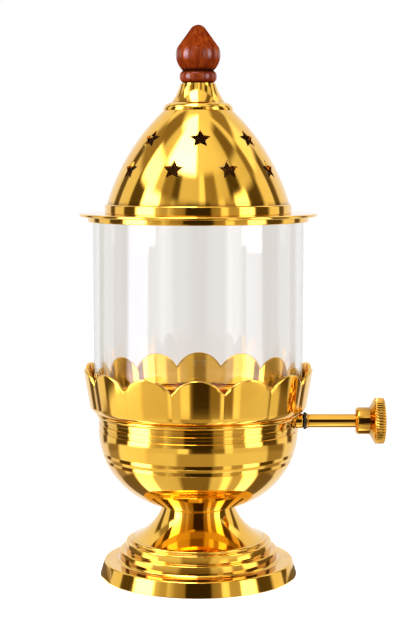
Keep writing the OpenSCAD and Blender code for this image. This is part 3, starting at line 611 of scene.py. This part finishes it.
bowl_pen = Pen(0.0, FOOT_TOP).line(16.0, FOOT_TOP, 0.5)
for middle in LOW_GROOVES:
    bowl_pen.arc(BELLY_CENTRE, belly(middle - GROOVE_HALF), middle - GROOVE_HALF, 24)
    groove(bowl_pen, middle, 0.14)
band_low = HIGH_GROOVES[0] - GROOVE_HALF
bowl_pen.arc(BELLY_CENTRE, belly(band_low), band_low, 24)
for middle in HIGH_GROOVES:
    bowl_pen.line(BAND_R, middle - GROOVE_HALF)
    groove(bowl_pen, middle, 0.3)
bead = (BAND_R, RIM_Z - BEAD_R)
bowl_pen.line(BAND_R, RIM_Z - 2 * BEAD_R).arc(bead, BAND_R + BEAD_R, bead[1], 6).arc(bead, BAND_R, RIM_Z, 6)
bowl_pen.line(BAND_R - BOWL_WALL, RIM_Z, 0.3).line(BAND_R - BOWL_WALL, BELLY_CENTRE[1])
bowl_pen.arc(BELLY_CENTRE, belly(FLOOR_Z, BOWL_WALL), FLOOR_Z, 40).line(0.0, FLOOR_Z)
piece("oil_bowl", bowl_pen.turn(192), polished_brass, "stand", ["bowl"])

# %% [markdown]
# ## The lotus collar
# Fourteen petals stand round the foot of the glass. Each petal is a shallow lobe with its own
# axis, so a crease runs down from every notch. One flat grid is bent to one petal, a spin with
# copies sets the other thirteen, and the seams are welded before the sheet gets its thickness.

# %% Lotus collar
PETALS = 14
PETAL_HALF = pi / PETALS
PETAL_AXIS = 11.9
SHEET = 1.2
TIP_Z, NOTCH_DROP, TOP_ROUND = 80.9, 5.4, 12.15
FLANGE_R, RIM_FROM, EDGE_ROUND = 36.0, 74.0, 0.42
BEND_CENTRE, BEND_R, LEAN = (38.96, 66.9), 2.9, radians(9.6)
WALL_FOOT = (BEND_CENTRE[0] + BEND_R * cos(LEAN), BEND_CENTRE[1] - BEND_R * sin(LEAN))


def petal_section(share, top):
    """Radius and height on the outside of a petal, from the flange, at 0, to its edge, at 1."""
    flange, bend = 0.12, 0.35
    if share <= flange:
        return FLANGE_R + (BEND_CENTRE[0] - FLANGE_R) * share / flange, BEND_CENTRE[1] - BEND_R
    if share <= bend:
        a = -pi / 2 + (pi / 2 - LEAN) * (share - flange) / (bend - flange)
        return BEND_CENTRE[0] + BEND_R * cos(a), BEND_CENTRE[1] + BEND_R * sin(a)
    height = WALL_FOOT[1] + (top - WALL_FOOT[1]) * (share - bend) / (1 - bend)
    return WALL_FOOT[0] + (height - WALL_FOOT[1]) * tan(LEAN), height


collar_mesh = bmesh.new()
bmesh.ops.create_grid(collar_mesh, x_segments=20, y_segments=34, size=1.0)
half_width = sqrt(TOP_ROUND ** 2 - (TOP_ROUND - NOTCH_DROP) ** 2)
for corner in collar_mesh.verts:
    across, share = corner.co.x, (corner.co.y + 1) / 2
    top = TIP_Z - TOP_ROUND + sqrt(TOP_ROUND ** 2 - (across * half_width) ** 2)
    radius, height = petal_section(share, top)
    angle = across * PETAL_HALF
    own = radius - PETAL_AXIS
    radius = PETAL_AXIS * cos(angle) + sqrt(own ** 2 - (PETAL_AXIS * sin(angle)) ** 2)
    corner.co = at_azimuth(degrees(angle), radius * MM, height * MM)
bmesh.ops.spin(collar_mesh, geom=collar_mesh.verts[:] + collar_mesh.edges[:] + collar_mesh.faces[:],
               axis=(0, 0, 1), angle=2 * pi * (PETALS - 1) / PETALS, steps=PETALS - 1,
               use_duplicate=True)
bmesh.ops.remove_doubles(collar_mesh, verts=collar_mesh.verts, dist=0.02 * MM)
bmesh.ops.recalc_face_normals(collar_mesh, faces=collar_mesh.faces)
bmesh.ops.solidify(collar_mesh, geom=collar_mesh.faces[:], thickness=SHEET * MM)
bmesh.ops.recalc_face_normals(collar_mesh, faces=collar_mesh.faces)
rim_edges = [e for e in collar_mesh.edges if len(e.link_faces) == 2
             and e.calc_face_angle() > radians(60) and min(v.co.z for v in e.verts) > RIM_FROM * MM]
bmesh.ops.bevel(collar_mesh, geom=rim_edges, offset=EDGE_ROUND * MM, offset_type="OFFSET", segments=4,
                profile=0.5, affect="EDGES", material=-1)
for edge in collar_mesh.edges:
    if len(edge.link_faces) == 2 and max(v.co.z for v in edge.verts) < TIP_Z * MM:
        seam = [(atan2(v.co.x, -v.co.y) / PETAL_HALF - 1) / 2 for v in edge.verts]
        if all(abs(s - round(s)) < 0.002 for s in seam) and edge.calc_face_angle() > radians(6):
            edge.smooth = False
piece("lotus_collar", collar_mesh, polished_brass, "stand", ["petal_collar"], sharp=None)

# %% [markdown]
# ## The glass and its finish
# The chimney is a drawn tube with fire-polished ends, so both rims are full rounds. Clear glass
# is a shader that lets light through and bends it. Drawing leaves faint upright lines, which are
# noise stretched along the tube, and the glass has a trace of warm grey. The tube throws no hard
# shadow, because a path tracer can't send lamp light through bent glass in good time.

# %% Glass chimney
glass_finish, tree, shader = new_finish("clear drawn glass")
place = surface_place(tree)
draw_lines = noise(tree, stretched(tree, place, (160, 160, 1.5)), 1.0, 2)
tint = mix_colours(tree, draw_lines, (0.945, 0.935, 0.922), (0.965, 0.957, 0.946))
tree.links.new(tint, shader.inputs["Base Color"])
mark = place_group(tree, marks, place, Smudge_size=40.0)
tree.links.new(scaled(tree, mark.outputs["Smudge"], 0.0, 0.02), shader.inputs["Roughness"])
tilt_surface(tree, shader, draw_lines, 0.015, 0.05)
preset(shader, Metallic=0.0, Transmission_Weight=1.0, IOR=1.47, Specular_IOR_Level=0.3)

GLASS_IN, GLASS_OUT, GLASS_FOOT, GLASS_TOP = 37.5, 40.0, 68.2, 138.2
glass_mid, lip = (GLASS_IN + GLASS_OUT) / 2, (GLASS_OUT - GLASS_IN) / 2
glass_pen = Pen(GLASS_IN, GLASS_FOOT + lip)
glass_pen.arc((glass_mid, GLASS_FOOT + lip), glass_mid, GLASS_FOOT, 8)
glass_pen.arc((glass_mid, GLASS_FOOT + lip), GLASS_OUT, GLASS_FOOT + lip, 8)
glass_pen.line(GLASS_OUT, GLASS_TOP - lip).arc((glass_mid, GLASS_TOP - lip), glass_mid, GLASS_TOP, 8)
glass_pen.arc((glass_mid, GLASS_TOP - lip), GLASS_IN, GLASS_TOP - lip, 8)
glass_pen.line(GLASS_IN, GLASS_FOOT + lip)
chimney = piece("glass_tube", glass_pen.turn(192), glass_finish, "glass", ["glass_chimney"])
chimney.visible_shadow = False

# %% [markdown]
# ## The lid
# The lid has a flat brim with a skirt that drops over the glass, a spun dome on a short ring, and
# a bead with a hollow neck on the crown. All three are turned from their sections. The dome is
# spun from fine faces, because its stars are cut through it afterwards.

# %% Brim, dome and neck
BRIM_TOP, RING_TOP, CROWN, NECK_TOP = 139.4, 142.9, 178.2, 188.2
SKIRT_FOOT, BRIM_EDGE, SCREW_HOLE = 136.2, (44.6, 138.8), 1.95
brim_pen = Pen(33.6, GLASS_TOP).line(40.5, GLASS_TOP).line(40.5, SKIRT_FOOT, 0.2)
brim_pen.line(42.0, SKIRT_FOOT, 0.5).line(42.0, GLASS_TOP, 0.15).line(BRIM_EDGE[0], GLASS_TOP)
brim_pen.arc(BRIM_EDGE, 45.2, BRIM_EDGE[1], 5).arc(BRIM_EDGE, BRIM_EDGE[0], BRIM_TOP, 5)
brim_pen.line(33.6, BRIM_TOP).line(33.6, GLASS_TOP)
piece("brim_ring", brim_pen.turn(192), polished_brass, "lid", ["lid_brim"])

DOME_CENTRE, DOME_R, DOME_WALL = (-41.98, 120.08), 80.0, 1.0


def dome_radius(height, inset=0.0):
    """The dome's radius at a height."""
    return DOME_CENTRE[0] + sqrt((DOME_R - inset) ** 2 - (height - DOME_CENTRE[1]) ** 2)


under_crown = CROWN - DOME_WALL
dome_pen = Pen(33.7, BRIM_TOP).line(35.5, BRIM_TOP, 0.15).line(35.5, RING_TOP, 0.6).line(34.72, RING_TOP)
dome_pen.arc(DOME_CENTRE, dome_radius(CROWN), CROWN, 52)
dome_pen.line(SCREW_HOLE, CROWN).line(SCREW_HOLE, under_crown)
dome_pen.line(dome_radius(under_crown, DOME_WALL), under_crown)
dome_pen.arc(DOME_CENTRE, dome_radius(RING_TOP, DOME_WALL), RING_TOP, 52).line(33.7, BRIM_TOP)
dome_mesh = dome_pen.turn(256)

neck_pen = Pen(SCREW_HOLE, CROWN).line(13.2, CROWN).arc((10.4, CROWN), 10.4, 181.0, 12).line(10.3, 181.0)
neck_pen.hollow(6.6, NECK_TOP, 20.0).line(SCREW_HOLE, NECK_TOP).line(SCREW_HOLE, CROWN)
piece("bead_and_neck", neck_pen.turn(128), polished_brass, "lid", ["lid_collar"])

# %% [markdown]
# Sixteen stars let the hot air out, seven above and nine below. A star is a circle of ten corners
# with every second one drawn in, and it is pushed through the sheet along the sheet's own normal.
# A Boolean cut takes all of them out at once, and is applied, so that no cutter is left behind.

# %% Stars
STAR_OUT, STAR_IN, STAR_TURN, STAR_REACH = 4.1, 2.05, 2.3, 4.0
cutter_mesh = bmesh.new()
for count, height, offset in ((7, 167.2, 0.0), (9, 156.0, 20.0)):
    slope = asin((height - DOME_CENTRE[1]) / DOME_R)
    for number in range(count):
        star = bmesh.ops.create_circle(cutter_mesh, cap_ends=True, segments=10, radius=STAR_OUT * MM)["verts"]
        for at, corner in enumerate(star):
            if at % 2:
                corner.co *= STAR_IN / STAR_OUT
        first = star[0].co.copy()
        upright = Matrix.Rotation(-atan2(first.y, first.x) + pi / 2, 4, "Z")
        faces = {face for corner in star for face in corner.link_faces}
        block = bmesh.ops.extrude_face_region(cutter_mesh, geom=list(faces))["geom"]
        lifted = [v for v in block if isinstance(v, bmesh.types.BMVert)]
        bmesh.ops.translate(cutter_mesh, verts=star, vec=(0, 0, -STAR_REACH * MM))
        bmesh.ops.translate(cutter_mesh, verts=lifted, vec=(0, 0, STAR_REACH * MM))
        stand = Matrix.Rotation(pi / 2 - slope, 4, "X")
        out = Vector((0, -dome_radius(height) * MM, height * MM))
        around = Matrix.Rotation(radians(offset + STAR_TURN + number * 360 / count), 4, "Z")
        bmesh.ops.transform(cutter_mesh, verts=star + lifted,
                            matrix=around @ Matrix.Translation(out) @ stand @ upright)
bmesh.ops.recalc_face_normals(cutter_mesh, faces=cutter_mesh.faces)

blank, cutter = new_object("dome blank", dome_mesh), new_object("star cutter", cutter_mesh)
cut = blank.modifiers.new("stars", "BOOLEAN")
cut.operation, cut.solver, cut.object = "DIFFERENCE", "EXACT", cutter
depsgraph = bpy.context.evaluated_depsgraph_get()
pierced = bmesh.new()
pierced.from_mesh(blank.evaluated_get(depsgraph).to_mesh())
for helper in (blank, cutter):
    bpy.data.objects.remove(helper)
bmesh.ops.remove_doubles(pierced, verts=pierced.verts, dist=0.0005 * MM)
# Faces inside the dome get the second finish: brass painted nearly black as shade.
for face in pierced.faces:
    middle = face.calc_center_median() / MM
    out = Vector((middle.x, middle.y)).length
    from_curve = DOME_R - Vector((out - DOME_CENTRE[0], middle.z - DOME_CENTRE[1])).length
    inside = middle.z < CROWN - DOME_WALL / 2 and from_curve > 0.9 * DOME_WALL
    face.material_index = 1 if inside and face.normal.dot(Vector((middle.x, middle.y, 0))) < 0 else 0
piece("star_dome", pierced, [polished_brass, shaded_dull_brass], "lid", ["lid_dome"], sharp=30)

# %% [markdown]
# ## The wooden finial
# A turned bud on a turned ring tops the lid. The wood is a warm red-brown with upright grain, so
# its noise is stretched along the height and squeezed across it. Faint tool rings and a clear
# varnish finish it. The varnish is laid only round the ring and the belly of the bud, so the
# bright cloths shine there in short patches, as painted highlights. Painted shade darkens the
# foot of the finial and the crease between ring and bud.

# %% Finial
BUD_TOP, BUD_WIDEST, FINIAL_HOLE = 210.1, 199.1, 1.75
RING_CENTRE = (4.5, 190.75)
GROWTH = [(0.30, (0.10, 0.012, 0.004)), (0.5, (0.34, 0.046, 0.006)), (0.72, (0.52, 0.095, 0.012))]
# The second colour here is painted shade for the creases.
STREAK, CREASE_SHADE = (0.16, 0.018, 0.005), (0.035, 0.006, 0.002)
# Where the painted shade lies up the finial.
CREASE_SHADE_BANDS = [(0.0, 1.0), (0.05, 0.0), (0.16, 0.0), (0.215, 1.0), (0.28, 0.0)]
# Coat weight up the finial, which places the highlights: a painted highlight placement.
HIGHLIGHT_BANDS = [(0.04, 0.0), (0.12, 0.9), (0.19, 0.0), (0.38, 0.0), (0.49, 1.0), (0.62, 0.0)]

wood, tree, shader = new_finish("varnished red-brown wood")
place = surface_place(tree)
grain = noise(tree, stretched(tree, place, (620, 620, 70), (0.06, 0.09, 0.0)), 1.0, 6, 0.8)
patches = noise(tree, place, 130, 2)
growth = colour_ramp(tree, grain, GROWTH)
streaked = mix_colours(tree, scaled(tree, patches, -0.5, 1.1), growth, STREAK)
height = add_node(tree, "ShaderNodeSeparateXYZ")
tree.links.new(place, height.inputs[0])
up_the_bud = preset(add_node(tree, "ShaderNodeMapRange"), From_Min=NECK_TOP * MM, From_Max=BUD_TOP * MM)
tree.links.new(height.outputs["Z"], up_the_bud.inputs["Value"])


def bands(stops):
    """A value that rises and falls up the finial. Stops are a share of its height and a value."""
    greys = [(at, (value,) * 3) for at, value in stops]
    return colour_ramp(tree, up_the_bud.outputs["Result"], greys, "EASE")


# Painted shade: the bands darken the foot of the finial and the crease between ring and bud.
tree.links.new(mix_colours(tree, bands(CREASE_SHADE_BANDS), streaked, CREASE_SHADE), shader.inputs["Base Color"])
ring = place_group(tree, rings, place, Rings_per_mm=2.2)
tree.links.new(scaled(tree, grain, 0.24, 0.40), shader.inputs["Roughness"])
tilt_surface(tree, shader, add_up(tree, grain, scaled(tree, ring.outputs["Rings"], 0, 0.4)), 0.12, 0.05)
# Painted highlight: the coat, and with it the bright patches, lies only round the ring and the belly.
tree.links.new(bands(HIGHLIGHT_BANDS), shader.inputs["Coat Weight"])
preset(shader, Specular_IOR_Level=0.0, Coat_Roughness=0.14, Coat_IOR=1.6)

bud_pen = Pen(FINIAL_HOLE, NECK_TOP).line(RING_CENTRE[0], NECK_TOP).arc(RING_CENTRE, 7.05, RING_CENTRE[1], 10)
bud_pen.arc(RING_CENTRE, 5.75, 192.97, 8).arc((0, BUD_WIDEST), 8.4, BUD_WIDEST, 16)
bud_pen.arc((3.0, BUD_WIDEST), 7.383, 202.255, 10).line(2.749, 208.69).arc((0, 206.713), 0.0, BUD_TOP, 10)
bud_pen.line(0.0, 200.5).line(FINIAL_HOLE, 200.5).line(FINIAL_HOLE, NECK_TOP)
piece("wooden_bud", bud_pen.turn(128), wood, "lid", ["lid_finial"], sharp=50)

# %% [markdown]
# ## The spindle and its knob
# A rod comes out of a small boss on the right of the bowl, past a black packing ring and a bright
# washer, and ends in a knob. Turned about the upright axis and then laid over, each piece comes
# from the same pen. The knob is a fine spin with eight columns to a ridge, and the columns between
# the ridges are pushed in.

# %% Spindle pieces
BOSS_END, PACKING_END, KNOB_FOOT, ROD_END, KNOB_END = 40.0, 41.0, 59.7, 65.7, 71.6
WASHER_FOOT, WASHER_END = PACKING_END + 0.03, 41.6
lay_over = Matrix.Translation((0, SPINDLE_Y * MM, SPINDLE_Z * MM)) @ Matrix.Rotation(pi / 2, 4, "Y")


def laid(bm):
    """A turned piece laid along the spindle: its height becomes the way to the right."""
    bmesh.ops.transform(bm, matrix=lay_over, verts=bm.verts)
    return bm


rod_pen = Pen(0.0, -8.4).line(1.5, -8.4, 0.3).line(1.5, 41.7).line(2.6, 41.7, 0.2).line(2.6, KNOB_FOOT, 0.15)
rod_pen.line(2.0, KNOB_FOOT).line(2.0, ROD_END, 0.2).line(0.0, ROD_END)
piece("rod", laid(rod_pen.turn(64)), shaded_spindle_brass, "wick_drive", ["spindle"])

boss_pen = Pen(1.55, 33.4).line(2.5, 33.4, 0.15).line(2.5, 37.2).line(2.9, 37.2).line(2.9, BOSS_END, 0.8)
boss_pen.line(1.55, BOSS_END).line(1.55, 33.4)
piece("bush_boss", laid(boss_pen.turn(64)), shaded_spindle_brass, "stand", ["spindle_bush"])

washer_pen = Pen(1.55, WASHER_FOOT).line(3.0, WASHER_FOOT, 0.15).line(3.0, WASHER_END, 0.15)
washer_pen.line(1.55, WASHER_END).line(1.55, WASHER_FOOT)
piece("bright_washer", laid(washer_pen.turn(64)), shaded_spindle_brass, "wick_drive", ["spindle_washer"])

# %% Knob
RIDGES, COLUMNS = 50, 8
RIM_R, RIDGE_DEEP = 8.75, 0.38
knob_pen = Pen(2.02, KNOB_FOOT).line(4.4, KNOB_FOOT, 0.2).line(5.2, 60.5, 0.3).line(5.2, 65.0).line(5.9, 65.5)
knob_pen.line(8.1, 66.6, 0.3).line(8.35, 67.0)
for at in (67.25, 68.2, 69.3, 70.3):
    knob_pen.line(RIM_R, at)
knob_pen.line(8.3, 70.7, 0.2).arc((0, 32.88), 0.0, KNOB_END, 10)
knob_pen.line(0.0, ROD_END + 0.05).line(2.02, ROD_END + 0.05).line(2.02, KNOB_FOOT)
knob_mesh = knob_pen.turn(RIDGES * COLUMNS)
for corner in knob_mesh.verts:
    from_axis = Vector((corner.co.x, corner.co.y)).length / MM
    if from_axis > RIM_R - 0.01:
        wave = 0.5 - 0.5 * cos(atan2(corner.co.y, corner.co.x) * RIDGES)
        inset = 1 - RIDGE_DEEP * wave ** 2 / RIM_R
        corner.co.x *= inset
        corner.co.y *= inset
piece("ridged_knob", laid(knob_mesh), shaded_spindle_brass, "wick_drive", ["wick_knob"], sharp=48)

# %% [markdown]
# ## Rubber, steel and cotton
# The packing ring is matt rubber with a dusty bloom. Nuts and screws out of sight are plated
# steel. The wick is cotton, so it is a rope of twisted yarns with a soft fuzzy sheen.

# %% Packing ring
rubber, tree, shader = new_finish("black rubber")
place = surface_place(tree)
mark = place_group(tree, marks, place, Smudge_size=300.0)
tree.links.new(mix_colours(tree, mark.outputs["Smudge"], (0.010, 0.009, 0.008), (0.028, 0.025, 0.022)),
               shader.inputs["Base Color"])
tree.links.new(scaled(tree, mark.outputs["Smudge"], 0.42, 0.68), shader.inputs["Roughness"])
packing_pen = Pen(1.6, BOSS_END).line(3.3, BOSS_END, 0.35).line(3.3, PACKING_END, 0.35)
packing_pen.line(1.6, PACKING_END).line(1.6, BOSS_END)
piece("packing", laid(packing_pen.turn(64)), rubber, "stand", ["packing_ring"])

# %% Plated steel
steel, tree, shader = new_finish("plated steel")
place = surface_place(tree)
ring = place_group(tree, rings, place, Rings_per_mm=4.0)
mark = place_group(tree, marks, place, Smudge_size=180.0)
tree.links.new(mix_colours(tree, mark.outputs["Smudge"], (0.62, 0.63, 0.65), (0.45, 0.46, 0.47)),
               shader.inputs["Base Color"])
tree.links.new(add_up(tree, scaled(tree, ring.outputs["Rings"], 0.22, 0.38),
                      scaled(tree, mark.outputs["Scratches"], 0.0, 0.15)), shader.inputs["Roughness"])
shader.inputs["Metallic"].default_value = 1.0
print("plated steel has", len(tree.nodes), "nodes")

# %% Wick
cotton, tree, shader = new_finish("twisted cotton")
fibre = noise(tree, surface_place(tree), 2600, 3)
tree.links.new(mix_colours(tree, fibre, (0.62, 0.54, 0.42), (0.86, 0.82, 0.72)), shader.inputs["Base Color"])
tree.links.new(scaled(tree, fibre, 0.82, 1.0), shader.inputs["Roughness"])
tilt_surface(tree, shader, fibre, 0.5, 0.1)
preset(shader, Sheen_Weight=0.35)

wick_low, wick_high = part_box("wick")
YARNS, YARN_R, YARN_OUT, CORE_R = 7, 0.98, 2.0, 1.25
TWIST, TWIST_STEPS = 1.5, 60
wick_mesh = bmesh.new()
for yarn in range(YARNS + 1):
    thick = YARN_R if yarn < YARNS else CORE_R
    ring_of_yarn = bmesh.ops.create_circle(wick_mesh, cap_ends=True, segments=12, radius=thick * MM)["verts"]
    out = YARN_OUT * MM if yarn < YARNS else 0.0
    turn = 2 * pi * yarn / YARNS
    bmesh.ops.translate(wick_mesh, verts=ring_of_yarn, vec=(out * cos(turn), out * sin(turn), wick_low.z))
    caps = list({face for corner in ring_of_yarn for face in corner.link_faces})
    edges_of_cap = list({edge for face in caps for edge in face.edges})
    bmesh.ops.spin(wick_mesh, geom=ring_of_yarn + edges_of_cap + caps, axis=(0, 0, 1), angle=2 * pi * TWIST,
                   dvec=(0, 0, (wick_high.z - wick_low.z) / TWIST_STEPS), steps=TWIST_STEPS)
bmesh.ops.remove_doubles(wick_mesh, verts=wick_mesh.verts, dist=0.001 * MM)
bmesh.ops.recalc_face_normals(wick_mesh, faces=wick_mesh.faces)
piece("twisted_wick", wick_mesh, cotton, "wick_body", ["wick"], sharp=50)

# %% [markdown]
# ## Inside the collar
# With the glass lifted out, the seat, the bar that carries the wick tube and its two screws come
# into view. The seat is turned again with broken corners, and the screw heads are domed and
# slotted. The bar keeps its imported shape.

# %% Seat and screws
SEAT_FOOT, SEAT_IN, LIP_TOP = 65.2, 29.5, 69.7
seat_pen = Pen(SEAT_IN, SEAT_FOOT).line(38.5, SEAT_FOOT, 0.2).line(39.9, 66.6, 0.2)
seat_pen.line(39.9, GLASS_FOOT, 0.15).line(36.9, GLASS_FOOT, 0.1).line(36.9, LIP_TOP, 0.35)
seat_pen.line(35.0, LIP_TOP, 0.35).line(35.0, GLASS_FOOT, 0.1)
seat_pen.line(SEAT_IN, GLASS_FOOT, 0.3).line(SEAT_IN, SEAT_FOOT)
piece("seat_ring", seat_pen.turn(160), polished_brass, "stand", ["glass_seat"])

screw_low, screw_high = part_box("bridge_screws")
SHANK_R, HEAD_R, HEAD_Z, SCREW_OUT = 1.0, 1.5, 69.7, 31.2
SLOT_HALF, SLOT_DEEP = 0.2, 0.35
screw_foot, screw_top = screw_low.z / MM, screw_high.z / MM
screws_mesh = bmesh.new()
for side in (-1, 1):
    screw = Pen(0.0, screw_foot).line(SHANK_R, screw_foot, 0.1).line(SHANK_R, HEAD_Z)
    screw = screw.line(HEAD_R, HEAD_Z, 0.1).line(HEAD_R, HEAD_Z + 0.55)
    screw = screw.arc((0, 68.3), 0.0, screw_top, 6).turn(48)
    for edge_y in (-SLOT_HALF, SLOT_HALF):
        bmesh.ops.bisect_plane(screw, geom=screw.verts[:] + screw.edges[:] + screw.faces[:], dist=0.001 * MM,
                               plane_co=(0, edge_y * MM, 0), plane_no=(0, 1, 0))
    bed = [f for f in screw.faces if f.normal.z > 0.3 and f.calc_center_median().z > (HEAD_Z + 0.4) * MM
           and abs(f.calc_center_median().y) < SLOT_HALF * MM]
    sunk = bmesh.ops.extrude_face_region(screw, geom=bed)["geom"]
    bmesh.ops.delete(screw, geom=bed, context="FACES")
    for corner in (v for v in sunk if isinstance(v, bmesh.types.BMVert)):
        corner.co.z = screw_high.z - SLOT_DEEP * MM
    bmesh.ops.recalc_face_normals(screw, faces=screw.faces)
    bmesh.ops.translate(screw, verts=screw.verts, vec=(0, side * SCREW_OUT * MM, 0))
    part = bpy.data.meshes.new("screw part")
    screw.to_mesh(part)
    screw.free()
    screws_mesh.from_mesh(part)
    bpy.data.meshes.remove(part)
piece("bridge_screw_pair", screws_mesh, turned_brass, "stand", ["bridge_screws"])

# %% [markdown]
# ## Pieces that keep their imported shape
# The small inner fittings are right as they were built, so they stay and only get a finish.

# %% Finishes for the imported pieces
KEPT = {
    turned_brass: ["burner_bridge", "wick_tube", "spindle_bracket"],
    spindle_turned: ["spur_wheel"],
    steel: ["foot_washer", "foot_nut", "bowl_stud", "spindle_clip", "finial_screw", "finial_washer"],
}
for material, names in KEPT.items():
    for name in names:
        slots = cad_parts[name].data.materials
        slots.clear()
        slots.append(material)
print("kept as packed:", sum(len(names) for names in KEPT.values()))

# %% [markdown]
# ## The pieces made
# The number of dressed pieces is printed. The dressed lamp has to stay inside the imported
# one's box.

# %% Pieces made
print("pieces made:", len(pieces_made))
